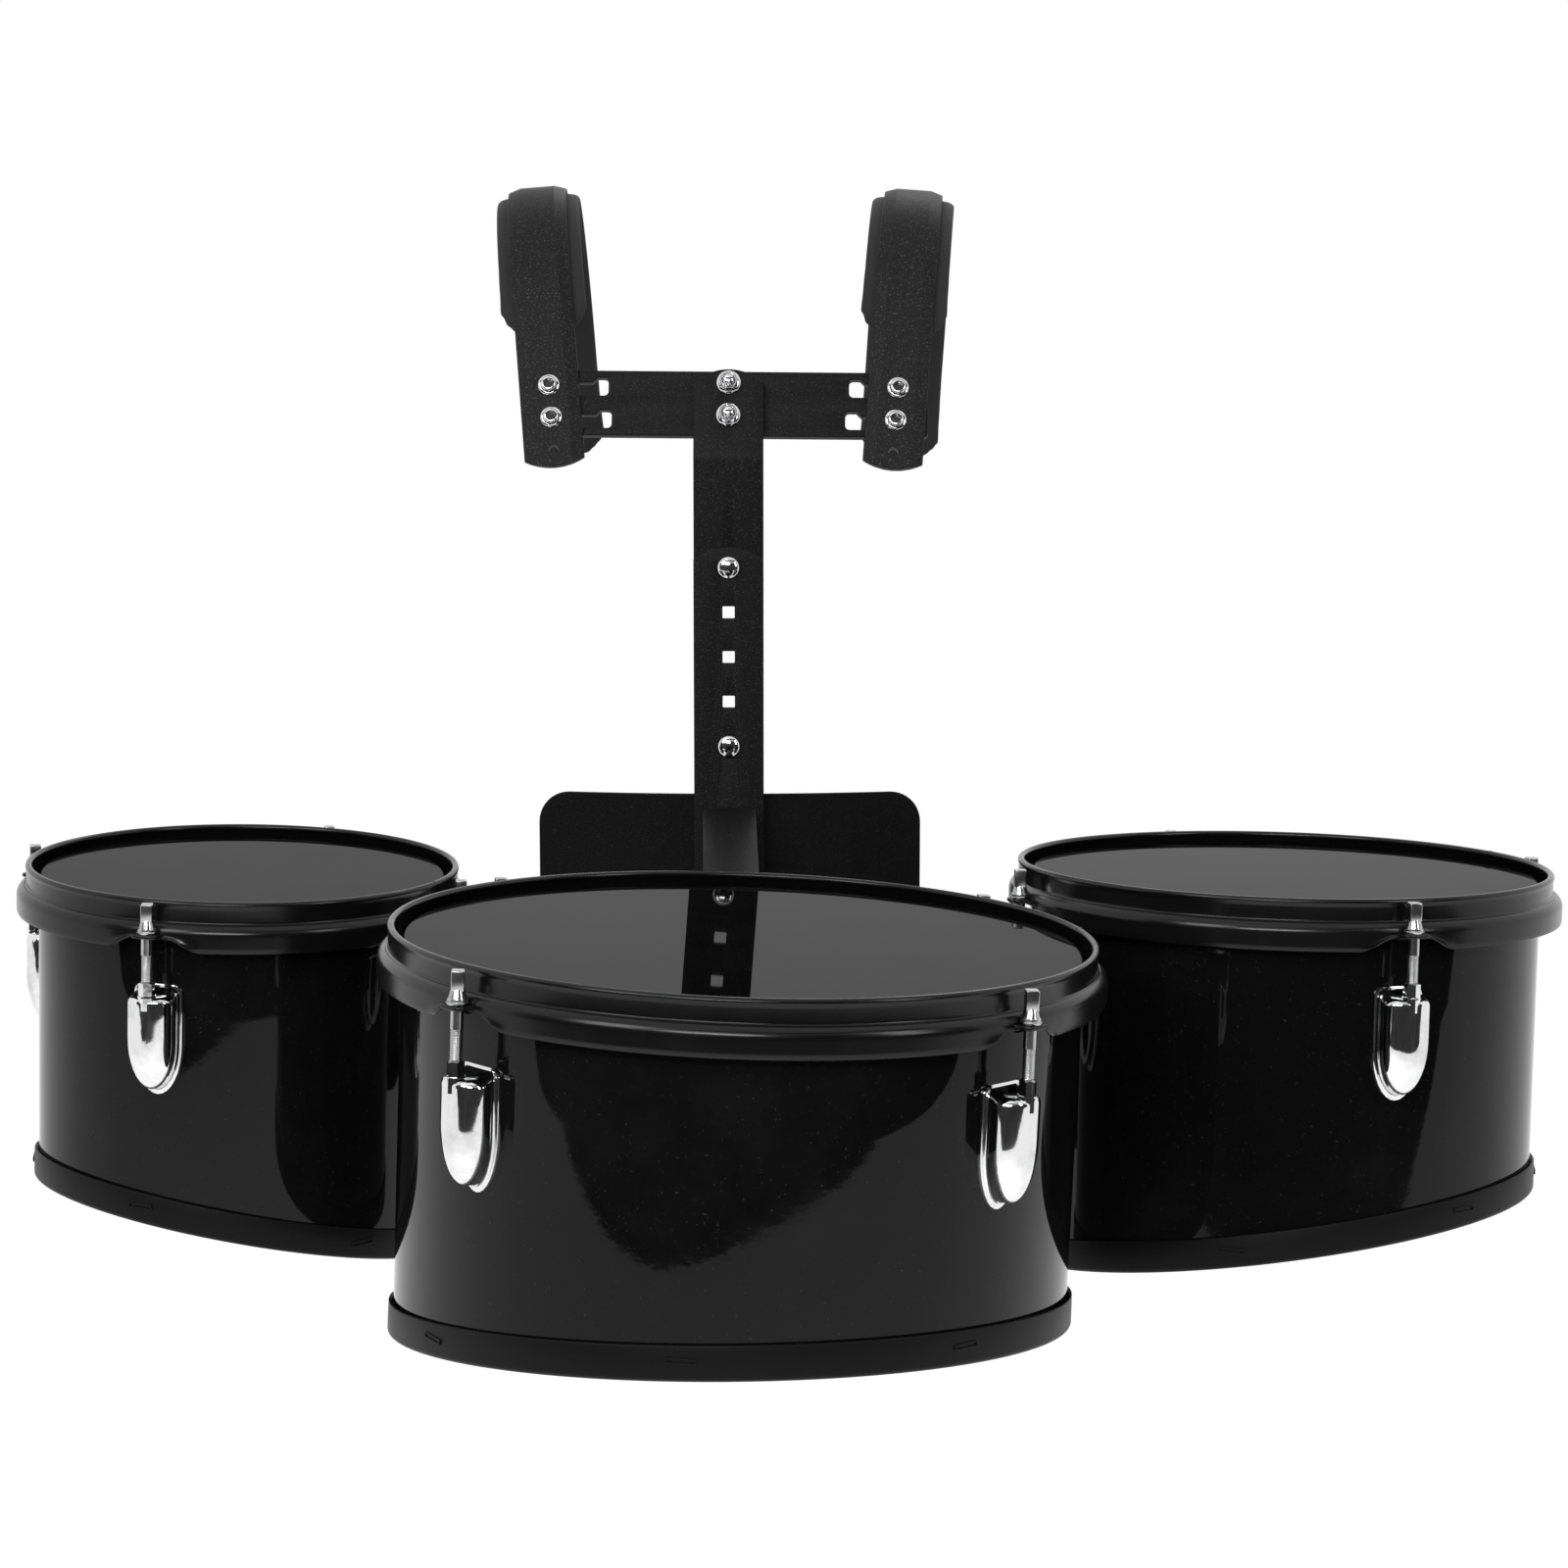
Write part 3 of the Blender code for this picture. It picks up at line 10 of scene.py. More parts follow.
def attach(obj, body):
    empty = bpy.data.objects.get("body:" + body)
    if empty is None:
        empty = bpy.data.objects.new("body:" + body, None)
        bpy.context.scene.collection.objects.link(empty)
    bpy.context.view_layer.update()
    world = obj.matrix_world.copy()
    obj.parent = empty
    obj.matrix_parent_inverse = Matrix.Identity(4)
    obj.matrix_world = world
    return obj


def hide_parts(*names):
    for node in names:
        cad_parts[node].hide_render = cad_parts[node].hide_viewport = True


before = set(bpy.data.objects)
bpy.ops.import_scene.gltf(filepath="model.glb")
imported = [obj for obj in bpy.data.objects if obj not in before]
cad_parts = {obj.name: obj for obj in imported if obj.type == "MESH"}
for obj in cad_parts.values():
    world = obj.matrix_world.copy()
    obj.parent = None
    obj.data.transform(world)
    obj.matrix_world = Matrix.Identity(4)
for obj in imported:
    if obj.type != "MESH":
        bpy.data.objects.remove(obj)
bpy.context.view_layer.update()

mm = 0.001
inch = 25.4 * mm


def say(stage):
    print("tenor drums:", stage, flush=True)


def inMm(value):
    # Millimetres to metres, also inside lists, tuples and dictionaries
    if isinstance(value, dict):
        return {key: inMm(size) for key, size in value.items()}
    if isinstance(value, (list, tuple)):
        return [inMm(size) for size in value]
    return value * mm


# Matrices and meshes

def turnX(degrees):
    return Matrix.Rotation(math.radians(degrees), 4, "X")


def turnY(degrees):
    return Matrix.Rotation(math.radians(degrees), 4, "Y")


def turnZ(degrees):
    return Matrix.Rotation(math.radians(degrees), 4, "Z")


faceY = turnX(90)  # lays a plate drawn in XY upright, facing -Y


def move(x=0.0, y=0.0, z=0.0):
    return Matrix.Translation((x, y, z))


def bmeshOf(*meshes):
    bm = bmesh.new()
    for mesh in meshes:
        bm.from_mesh(mesh)
    return bm


def meshFrom(bm, sharpAngle=32.0, merge=True):
    if merge:
        bmesh.ops.remove_doubles(bm, verts=bm.verts, dist=1e-7)
    bmesh.ops.recalc_face_normals(bm, faces=bm.faces)
    mesh = bpy.data.meshes.new("shape")
    bm.to_mesh(mesh)
    bm.free()
    mesh.shade_smooth()
    mesh.set_sharp_from_angle(angle=math.radians(sharpAngle))
    return mesh


def evaluatedMesh(obj, sharpAngle=32.0):
    # The object with its modifiers applied, as a plain mesh; the object itself goes
    bpy.context.view_layer.update()
    graph = bpy.context.evaluated_depsgraph_get()
    mesh = bpy.data.meshes.new_from_object(obj.evaluated_get(graph))
    bpy.data.objects.remove(obj, do_unlink=True)
    bm = bmeshOf(mesh)
    bpy.data.meshes.remove(mesh)
    return meshFrom(bm, sharpAngle)


def linked(name, data):
    obj = bpy.data.objects.new(name, data)
    bpy.context.scene.collection.objects.link(obj)
    return obj


def joined(meshes, sharpAngle=32.0):
    return meshFrom(bmeshOf(*meshes), sharpAngle, merge=False)


def moved(mesh, matrix):
    mesh.transform(matrix)
    return mesh


def strips(bm, rows, closed=True):
    # Faces between neighbouring rows of vertices
    count = len(rows[0])
    for row, after in zip(rows, rows[1:]):
        for j in range(count if closed else count - 1):
            k = (j + 1) % count
            bm.faces.new((row[j], row[k], after[k], after[j]))


def revolved(profileAt, angles, closed, sharpAngle=32.0):
    # profileAt(angle) gives (radius, height) points; angle 0 is -Y and grows towards +X
    bm = bmesh.new()
    rows = []
    for angle in angles:
        across, along = math.sin(angle), -math.cos(angle)
        rows.append([bm.verts.new((r * across, r * along, z)) for r, z in profileAt(angle)])
    strips(bm, rows + rows[:1], closed)
    return meshFrom(bm, sharpAngle)


def evenAngles(steps):
    return [2 * math.pi * i / steps for i in range(steps)]


def turned(profile, steps, closed=False, sharpAngle=32.0):
    return revolved(lambda angle: profile, evenAngles(steps), closed, sharpAngle)


def arc(x, y, radius, start, end, steps):
    points = []
    for i in range(steps + 1):
        angle = math.radians(start + (end - start) * i / steps)
        points.append((x + radius * math.cos(angle), y + radius * math.sin(angle)))
    return points


def lofted(rings, sharpAngle=32.0):
    # Rings of as many points each, closed by strips from side to side at both ends
    bm = bmesh.new()
    rows = [[bm.verts.new(point) for point in ring] for ring in rings]
    strips(bm, rows)
    count = len(rows[0])
    for row in (rows[0], rows[-1]):
        for i in range((count - 1) // 2):
            corners = [row[i], row[i + 1], row[count - 2 - i], row[count - 1 - i]]
            bm.faces.new(list(dict.fromkeys(corners)))
    return meshFrom(bm, sharpAngle)


def rounded(corners, steps=8):
    # An outline through (x, y, radius) corners, each rounded by an arc
    outline = []
    for i, (x, y, radius) in enumerate(corners):
        here = Vector((x, y))
        if radius == 0:
            outline.append((x, y))
            continue
        before = (Vector(corners[i - 1][:2]) - here).normalized()
        after = (Vector(corners[(i + 1) % len(corners)][:2]) - here).normalized()
        half = before.angle(after) / 2
        centre = here + (before + after).normalized() * radius / math.sin(half)
        start = here + before * radius / math.tan(half) - centre
        turn = start.angle_signed(here + after * radius / math.tan(half) - centre)
        for step in range(steps + 1):
            point = centre + Matrix.Rotation(-turn * step / steps, 2) @ start
            outline.append((point.x, point.y))
    return outline


def box(half, low, high, corner=0.0, steps=8):
    # A rectangle's outline, with rounded corners
    corners = ((-half, low), (half, low), (half, high), (-half, high))
    return rounded([(x, y, corner) for x, y in corners], steps)


def ringOf(y, radius):
    sides = 40
    return arc(0.0, y, radius, 0, 360 * (sides - 1) / sides, sides - 1)


def plate(outlines, thickness, bevel):
    # The first outline is the rim and the rest are holes; the plate is centred on Z = 0
    curve = bpy.data.curves.new("outline", "CURVE")
    curve.dimensions = "2D"
    curve.fill_mode = "BOTH"
    curve.extrude = thickness / 2 - bevel
    curve.bevel_depth = bevel
    curve.bevel_resolution = 2
    curve.offset = -bevel
    for outline in outlines:
        spline = curve.splines.new("POLY")
        spline.points.add(len(outline) - 1)
        for point, (x, y) in zip(spline.points, outline):
            point.co = (x, y, 0.0, 1.0)
        spline.use_cyclic_u = True
    return evaluatedMesh(linked("outline", curve))


def cut(mesh, tools, operation="DIFFERENCE", sharpAngle=32.0):
    obj = linked("whole", mesh)
    helpers = [linked("tool", tool) for tool in tools]
    for helper in helpers:
        boolean = obj.modifiers.new("cut", "BOOLEAN")
        boolean.operation = operation
        boolean.object = helper
    result = evaluatedMesh(obj, sharpAngle)
    for helper in helpers:
        bpy.data.objects.remove(helper, do_unlink=True)
    return result


def rod(radius, low, high, sides):
    bm = bmesh.new()
    bmesh.ops.create_cone(
        bm, cap_ends=True, segments=sides, radius1=radius, radius2=radius, depth=high - low,
        matrix=move(z=(low + high) / 2),
    )
    return meshFrom(bm)


def hexNut(across, low, high, chamfer):
    # A hexagon whose corners are taken down by a cone at the top
    corner = across / math.sqrt(3)
    below = low - 1 * mm
    cone = turned([
        (0.0, high), (across / 2 * 0.96, high), (corner + chamfer, high - chamfer * 1.6),
        (corner + chamfer, below), (0.0, below),
    ], 48)
    return cut(rod(corner, low, high, 6), [cone], "INTERSECT")


def bevelledCopy(node, width):
    # The solid's own mesh with its facets merged and its sharp edges rounded
    bm = bmeshOf(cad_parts[node].data)
    bmesh.ops.remove_doubles(bm, verts=bm.verts, dist=2e-6)
    bmesh.ops.dissolve_limit(bm, angle_limit=math.radians(0.4), verts=bm.verts, edges=bm.edges)
    edges = [e for e in bm.edges if len(e.link_faces) == 2 and e.calc_face_angle(0) > math.radians(28)]
    bmesh.ops.bevel(
        bm, geom=edges, offset=width, offset_type="OFFSET", segments=2, profile=0.5,
        affect="EDGES", clamp_overlap=True,
    )
    return meshFrom(bm)


def addPiece(name, mesh, finish, body, slotName, matrix, *nodes):
    mesh.name = name
    obj = linked(name, mesh)
    obj.matrix_world = matrix or Matrix.Identity(4)
    if not mesh.materials:
        mesh.materials.append(finish)
    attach(obj, body)
    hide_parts(*nodes)
    return obj


# Effects shared by several finishes, each a node group

def newGroup(name, labels, build):
    # build(group, given, place) makes the nodes and gives the sockets that go out, by label
    group = bpy.data.node_groups.new(name, "ShaderNodeTree")
    for label in labels:
        group.interface.new_socket(label, in_out="INPUT", socket_type="NodeSocketFloat")
    given = group.nodes.new("NodeGroupInput").outputs
    results = build(group, given, group.nodes.new("ShaderNodeTexCoord").outputs["Object"])
    for label in results:
        group.interface.new_socket(label, in_out="OUTPUT", socket_type="NodeSocketFloat")
    out = group.nodes.new("NodeGroupOutput")
    for label, socket in results.items():
        group.links.new(socket, out.inputs[label])
    return group


def feed(tree, target, value):
    # A constant, or the socket whose output goes in
    if isinstance(value, bpy.types.NodeSocket):
        tree.links.new(value, target)
    else:
        target.default_value = value


def addNode(tree, kind, values, **settings):
    node = tree.nodes.new(kind)
    for key, value in settings.items():
        setattr(node, key, value)
    for key, value in values.items():
        feed(tree, node.inputs[key], value)
    return node


def calc(tree, operation, *operands):
    return addNode(tree, "ShaderNodeMath", dict(enumerate(operands)), operation=operation).outputs[0]


def noiseOf(tree, vector, scale, detail=3.0, roughness=0.5):
    values = {"Vector": vector, "Scale": scale, "Detail": detail, "Roughness": roughness}
    return addNode(tree, "ShaderNodeTexNoise", values).outputs["Fac"]


def stepOf(tree, value, low, high):
    values = {"Value": value, "From Min": low, "From Max": high}
    return addNode(tree, "ShaderNodeMapRange", values, interpolation_type="SMOOTHSTEP").outputs["Result"]


def grainOf(group, given, place):
    # Powder coat: fine bumps, scattered bright specks and a slow drift of tone
    speck = stepOf(group, noiseOf(group, place, given["Speck Scale"], 1.0), 0.60, 0.76)
    return {
        "Height": noiseOf(group, place, given["Grain Scale"], 2.0, 0.6),
        "Specks": calc(group, "MULTIPLY", speck, given["Speck Amount"]),
        "Drift": noiseOf(group, place, 14.0),
    }


def handlingOf(group, given, place):
    # Faint smudges, hair scratches and dust on polished surfaces
    smudge = noiseOf(group, place, given["Smudge Scale"], 5.0, 0.62)
    dust = stepOf(group, noiseOf(group, place, given["Dust Scale"], 1.0), 0.70, 0.80)
    stretch = {"Vector": place, "Rotation": (0.5, 0.35, 0.2), "Scale": (900.0, 700.0, 9.0)}
    hair = noiseOf(group, addNode(group, "ShaderNodeMapping", stretch).outputs["Vector"], 1.0, 1.0)
    return {
        "Smudge": stepOf(group, smudge, 0.42, 0.72),
        "Dust": calc(group, "MULTIPLY", dust, given["Dust Amount"]),
        "Scratches": stepOf(group, hair, 0.68, 0.76),
    }


def rippleOf(group, given, place):
    # A slow waviness, as of film laid on wood or of buffed plating
    wave = noiseOf(group, place, given["Wave Scale"], 1.0, 0.4)
    peel = noiseOf(group, place, given["Peel Scale"], 2.0)
    return {"Height": calc(group, "MULTIPLY_ADD", peel, 0.12, wave)}


def edgeWearOf(group, given, place):
    # Where an edge stands out, broken up by noise
    point = group.nodes.new("ShaderNodeNewGeometry").outputs["Pointiness"]
    edge = stepOf(group, calc(group, "SUBTRACT", point, given["Start"]), 0.0, 0.06)
    broken = stepOf(group, noiseOf(group, place, given["Break Scale"]), 0.35, 0.65)
    return {"Mask": calc(group, "MULTIPLY", edge, broken)}


def knitOf(group, given, place):
    # The fine knitted face laminated on foam: rows of loops, with fuzz
    values = {"Vector": place, "Scale": given["Loop Scale"], "Randomness": 0.55}
    loops = addNode(group, "ShaderNodeTexVoronoi", values, feature="SMOOTH_F1")
    fuzz = noiseOf(group, place, given["Fuzz Scale"], 2.0, 0.6)
    fade = calc(group, "MULTIPLY", noiseOf(group, place, 30.0, 4.0), 0.4)
    return {
        "Height": calc(group, "MULTIPLY_ADD", fuzz, 0.4, loops.outputs["Distance"]),
        "Fluff": calc(group, "MULTIPLY_ADD", fuzz, 0.6, fade),
    }


effects = [
    newGroup("coatGrain", ("Grain Scale", "Speck Scale", "Speck Amount"), grainOf),
    newGroup("handling", ("Smudge Scale", "Dust Scale", "Dust Amount"), handlingOf),
    newGroup("ripple", ("Wave Scale", "Peel Scale"), rippleOf),
    newGroup("edgeWear", ("Start", "Break Scale"), edgeWearOf),
    newGroup("knit", ("Loop Scale", "Fuzz Scale"), knitOf),
]
say("effect groups built")


# Finishes

def newMaterial(name):
    material = bpy.data.materials.new(name)
    material.use_nodes = True
    return material, material.node_tree


def grey(level, blue=None):
    return (level, level, level if blue is None else blue, 1.0)


def mixed(tree, mask, below, above):
    values = {"Factor": mask, "A": below, "B": above}
    return addNode(tree, "ShaderNodeMix", values, data_type="RGBA").outputs["Result"]


def makeFinish(name, shader, settings, tone, bump, over=(), sums=None):
    # shader holds plain constants and settings those of the effects used. tone is a mask with
    # its two colours, over has colours laid on by a share of a mask, sums what masks add to a
    # starting value, and bump a strength and a distance.
    material, tree = newMaterial(name)
    inputs = tree.nodes["Principled BSDF"].inputs
    for label, value in shader.items():
        inputs[label].default_value = value
    masks = {}
    for group in effects:
        labels = [item.name for item in group.interface.items_tree if item.in_out == "INPUT"]
        if labels[0] in settings:
            values = {label: settings[label] for label in labels}
            node = addNode(tree, "ShaderNodeGroup", values, node_tree=group)
            masks.update({socket.name: socket for socket in node.outputs})
    mask, dark, light = tone
    colour = mixed(tree, masks[mask], dark, light)
    for mask, share, light in over:
        colour = mixed(tree, calc(tree, "MULTIPLY", masks[mask], share), colour, light)
    feed(tree, inputs["Base Color"], colour)
    for label, (total, *parts) in (sums or {}).items():
        for mask, amount in parts:
            total = calc(tree, "MULTIPLY_ADD", masks[mask], amount, total)
        feed(tree, inputs[label], total)
    values = {"Height": masks["Height"], "Strength": bump[0], "Distance": bump[1]}
    feed(tree, inputs["Normal"], addNode(tree, "ShaderNodeBump", values).outputs["Normal"])
    return material


def makePlating(name, dark, light, gloss, wave):
    # Plated metal, with faint smudges and hair scratches
    return makeFinish(
        name, {"Metallic": 1.0}, {
            "Smudge Scale": 60.0, "Dust Scale": 1500.0, "Dust Amount": 0.3,
            "Wave Scale": 170.0, "Peel Scale": 900.0,
        },
        tone=("Smudge", light, dark), bump=(wave, 0.0002),
        sums={"Roughness": (gloss, ("Smudge", 0.05), ("Scratches", 0.10))},
    )


def makeCarrierCoat(name, share):
    # Fine-textured matte black powder coat; share scales its tone and specks, so that copies of the one coat
    # come out lighter or darker as painted light and painted shade
    return makeFinish(
        name, {"Specular IOR Level": 0.11}, {
            "Grain Scale": 1100.0, "Speck Scale": 1350.0, "Speck Amount": 1.0,
            "Smudge Scale": 25.0, "Dust Scale": 1100.0, "Dust Amount": 0.25,
        },
        tone=("Drift", grey(0.0076 * share), grey(0.0122 * share)), bump=(0.5, 0.0002),
        over=[("Specks", 0.5, grey(0.15 * share)), ("Dust", 1.0, grey(0.09))],
        sums={"Roughness": (0.46, ("Drift", 0.12), ("Smudge", -0.05))},
    )


# Gloss black wrap, very slightly wavy over the wood
glossWrap = makeFinish(
    "glossWrap", {"Specular IOR Level": 0.19}, {
        "Smudge Scale": 9.0, "Dust Scale": 700.0, "Dust Amount": 0.35,
        "Wave Scale": 22.0, "Peel Scale": 150.0,
    },
    tone=("Smudge", grey(0.0030, 0.0032), grey(0.0060, 0.0064)), bump=(0.10, 0.0009),
    over=[("Dust", 1.0, grey(0.05))], sums={"Roughness": (0.03, ("Smudge", 0.035), ("Dust", 0.4))},
)
# Black drum film: a clear face that mirrors at a low angle, over a dark matte body
blackFilm = makeFinish(
    "blackFilm", {"Specular IOR Level": 0.0, "Roughness": 0.55, "Coat Roughness": 0.02}, {
        "Smudge Scale": 14.0, "Dust Scale": 800.0, "Dust Amount": 0.5,
        "Wave Scale": 10.0, "Peel Scale": 90.0,
    },
    tone=("Smudge", grey(0.0020, 0.0022), grey(0.0040, 0.0043)), bump=(0.03, 0.0004),
    over=[("Dust", 1.0, grey(0.06))], sums={"Coat Weight": (0.25, ("Smudge", -0.012))},
)
# Satin black powder coat on pressed steel
satinCoat = makeFinish(
    "satinCoat", {"Specular IOR Level": 0.30}, {
        "Grain Scale": 900.0, "Speck Scale": 2200.0, "Speck Amount": 0.10, "Start": 0.56,
        "Break Scale": 400.0, "Smudge Scale": 20.0, "Dust Scale": 900.0, "Dust Amount": 0.2,
    },
    tone=("Drift", grey(0.0018, 0.0019), grey(0.0045, 0.0048)), bump=(0.05, 0.0001),
    over=[("Mask", 0.25, grey(0.08))], sums={"Roughness": (0.20, ("Smudge", 0.06))},
)
# Moulded black rubber, satin, rubbed a little lighter along its edges
guardRubber = makeFinish(
    "guardRubber", {"Specular IOR Level": 0.11}, {
        "Grain Scale": 700.0, "Speck Scale": 1600.0, "Speck Amount": 0.25,
        "Start": 0.53, "Break Scale": 180.0,
    },
    tone=("Drift", grey(0.0030, 0.0031), grey(0.0065, 0.0067)), bump=(0.12, 0.00015),
    over=[("Mask", 0.35, grey(0.05))], sums={"Roughness": (0.36, ("Drift", 0.14))},
)
# Thin knitted cloth over closed-cell foam
padCloth = makeFinish(
    "padCloth",
    {"Roughness": 0.88, "Specular IOR Level": 0.2, "Sheen Weight": 0.10, "Sheen Roughness": 0.5},
    {"Loop Scale": 1300.0, "Fuzz Scale": 4500.0, "Start": 0.54, "Break Scale": 700.0},
    tone=("Fluff", grey(0.0130, 0.0134), grey(0.0330, 0.0335)), bump=(0.55, 0.0003),
    over=[("Mask", 0.3, grey(0.05))],
)
chrome = makePlating("chrome", grey(0.58), grey(0.78, 0.785), 0.05, 0.10)
brightZinc = makePlating("brightZinc", grey(0.50, 0.51), grey(0.70, 0.71), 0.09, 0.12)
rodPlate = makePlating("rodPlate", grey(0.33), grey(0.48, 0.485), 0.18, 0.25)
# One coat in three copies: the straps at full level, the bars and rails darkened as painted shade, and the
# belly plate darkest as deeper painted shade
strapCoat = makeCarrierCoat("strapCoat", 1.0)
shadedBarCoat = makeCarrierCoat("shadedBarCoat", 0.46)
plateCoat = makeCarrierCoat("plateCoat", 0.15)
say("finishes built")


# Drums: the frame of each is the centre of its rim's top, as it hangs, with its first rod at -Y

drums = {
    "small": {
        "radius": 4 * inch, "centre": (-0.2425, -0.3079, -0.3392), "roll": 2.16, "tilt": 1.56,
        "firstRod": -12.96, "cutFaces": -46.5, "marks": (-80.0, -17.6, 44.6, 150.0),
    },
    "large": {
        "radius": 6 * inch, "centre": (0.0136, -0.4881, -0.3411), "roll": 2.22, "tilt": -0.11,
        "firstRod": -43.92, "cutFaces": 16.5, "marks": (-54.0, -6.7, 40.0, 105.0, 170.0),
    },
    "medium": {
        "radius": 5 * inch, "centre": (0.2837, -0.3137, -0.3389), "roll": 0.83, "tilt": -1.56,
        "firstRod": -74.08, "cutFaces": 60.0, "marks": (-70.0, -17.8, 34.7, 79.0, 170.0),
    },
}
rodAzimuths = (0, 90, 180, 270)
rodCircle = 14.1 * mm


def outwards(radius, angle):
    return Vector((radius * math.sin(angle), -radius * math.cos(angle)))


def lowerEdge(drum):
    # Gives the height of the slanted lower edge at any radius and angle
    faces = math.radians(drum["cutFaces"] - drum["firstRod"])
    steepness = shellSizes["slantRise"] / (drum["radius"] + guardSizes["outside"])
    slope = Vector((-math.sin(faces), math.cos(faces))) * steepness
    return lambda radius, angle: -shellSizes["middleDepth"] - slope.dot(outwards(radius, angle))


hoopSizes = inMm({
    "lipMiddle": 4.85, "lipRadius": 1.75, "collarOut": 6.1, "collarIn": 4.2, "collarTop": -4.2,
    "collarFoot": -9.0, "skirtOut": 10.9, "sheet": 2.0, "fillet": 1.1, "shoulder": 5.6,
    "skirtTop": -16.2, "skirtBottom": -24.0, "eased": 0.35, "stub": 0.5, "dimple": 4.9,
    "earTop": -15.0, "earThick": 2.0, "earWidth": 13.3, "earReach": 5.2, "archTop": 6.6, "archFoot": 25.0,
})
hoopFlare = 66.0


def hoopProfile(radius, angle):
    # The pressed section; near a rod the skirt shortens in an S and flares towards the ear
    s = hoopSizes
    quarter = math.pi / 2
    away = abs((angle + quarter / 2) % quarter - quarter / 2) * (radius + s["skirtOut"])
    u = min(1.0, max(0.0, (away - s["archTop"]) / (s["archFoot"] - s["archTop"])))
    length = s["stub"] + (s["skirtTop"] - s["skirtBottom"] - s["stub"]) * u * u * (3 - 2 * u)
    flare = math.radians(hoopFlare) * (1 - u) ** 1.3
    collar, skirtOut = radius + s["collarOut"], radius + s["skirtOut"]
    outer = arc(radius + s["lipMiddle"], -s["lipRadius"], s["lipRadius"], 215, -38, 14)
    outer += [(collar, s["collarTop"]), (collar, s["collarFoot"])]
    outer += arc(collar + s["fillet"], s["collarFoot"] - 0.9 * mm, s["fillet"], 180, 250, 6)
    outer += arc(skirtOut - s["shoulder"], s["skirtTop"] + 0.3 * mm, s["shoulder"], 67, 4, 10)
    clear = rodCircle + radius - math.sqrt(max(0.0, s["dimple"] ** 2 - min(away, s["dimple"]) ** 2))
    outer = [(min(r, clear) if z > s["skirtTop"] else r, z) for r, z in outer]
    skirt = []
    inner = []
    rows = 6
    here = Vector((skirtOut, s["skirtTop"]))
    for i in range(rows + 1):
        bend = flare * i / rows
        along = Vector((math.sin(bend), -math.cos(bend)))
        inward = Vector((along.y, -along.x))
        if i:
            here = here + along * length / rows
        eased = s["eased"] if i == rows else 0.0
        skirt.append(tuple(here + inward * eased))
        inner.append(tuple(here + inward * (s["sheet"] - eased)))
    tip = tuple(here + along * 0.30 * mm + inward * s["sheet"] / 2)
    inside = [
        (radius + 8.0 * mm, -14.2 * mm), (radius + 7.0 * mm, -12.9 * mm),
        (radius + s["collarIn"], -12.7 * mm), (radius + s["collarIn"], -3.9 * mm),
    ]
    return outer + skirt + [tip] + inner[::-1] + inside


def hoopAngles(radius):
    # Close columns where the skirt changes, wide ones between
    top, foot = hoopSizes["archTop"], hoopSizes["archFoot"]
    half = inMm([0.0, 1.6, 3.0, 4.2, 5.2, 6.0])
    half += [top + (foot - top) * i / 22 for i in range(23)] + inMm([27.0, 30.0])
    near = [along / (radius + hoopSizes["skirtOut"]) for along in half]
    gap = math.pi / 2 - 2 * near[-1]
    count = max(4, round(gap / math.radians(2.5)))
    rest = [near[-1] + gap * i / count for i in range(1, count)]
    quarter = near + rest + [math.pi / 2 - a for a in reversed(near[1:])]
    return [q * math.pi / 2 + a for q in range(4) for a in quarter]


def hoopMesh(drum):
    s = hoopSizes
    radius = drum["radius"]
    ring = revolved(lambda angle: hoopProfile(radius, angle), hoopAngles(radius), True, 38.0)
    half = s["earWidth"] / 2
    start = radius + s["skirtOut"] - s["sheet"]
    end = radius + rodCircle + s["earReach"]
    outline = rounded([(-half, -end, 3 * mm), (half, -end, 3 * mm), (half, -start, 0), (-half, -start, 0)])
    ear = plate([outline], s["earThick"], 0.7 * mm)
    lift = move(z=s["earTop"] - s["earThick"] / 2)
    ears = [moved(ear.copy(), turnZ(azimuth) @ lift) for azimuth in rodAzimuths]
    # The ground weld where the lip's bead closes
    seam = turned(inMm([(0.0, 0.12), (0.35, 0.0), (0.45, -0.6), (0.0, -0.6)]), 12)
    place = turnZ(drum["cutFaces"] + 130) @ move(y=-radius - s["lipMiddle"])
    return joined([ring] + ears + [moved(seam, place @ Matrix.Diagonal((1, 4.5, 1, 1)))], 38.0)


headSizes = inMm({
    "film": -4.7, "filmThick": 0.35, "edge": 3.6, "edgeIn": 2.4,
    "fleshTop": -13.0, "fleshOut": 6.6, "fleshHeight": 6.5, "fleshCorner": 0.8,
})


def headMesh(drum):
    # Film drawn over the bearing edge and crimped in its flesh hoop
    s = headSizes
    radius = drum["radius"]
    low = s["fleshTop"] - s["fleshHeight"]
    edge, edgeFoot, corner = radius - s["edgeIn"], s["film"] - s["edge"], s["fleshCorner"]
    flesh = radius + s["fleshOut"] - corner
    profile = [(radius * k, s["film"]) for k in (0.0, 0.25, 0.5, 0.75, 0.9)]
    profile += [(radius - 2.6 * mm, s["film"])] + arc(edge, edgeFoot, s["edge"], 88, 4, 12)
    profile += [(radius + 1.2 * mm, s["fleshTop"] + 0.7 * mm)]
    profile += arc(radius + 1.9 * mm, s["fleshTop"] + 0.6 * mm, 0.7 * mm, 190, 262, 4)
    profile += arc(flesh, s["fleshTop"] - corner, corner, 88, 2, 4)
    profile += arc(flesh, low + corner, corner, -2, -88, 4)
    profile += [(radius + 1.0 * mm, low), (radius + 0.7 * mm, s["film"] - 3.4 * mm)]
    profile += arc(edge, edgeFoot, s["edge"] - s["filmThick"], 20, 88, 8)
    profile += [(0.0, s["film"] - s["filmThick"])]
    return turned(profile, 180, False, 50.0)


shellSizes = inMm({
    "top": -5.7, "wall": 6.0, "middleDepth": 178.8, "slantRise": 24.8,
    "overlap": 14.0, "overlapTop": -21.0, "overlapFoot": 13.0,
})


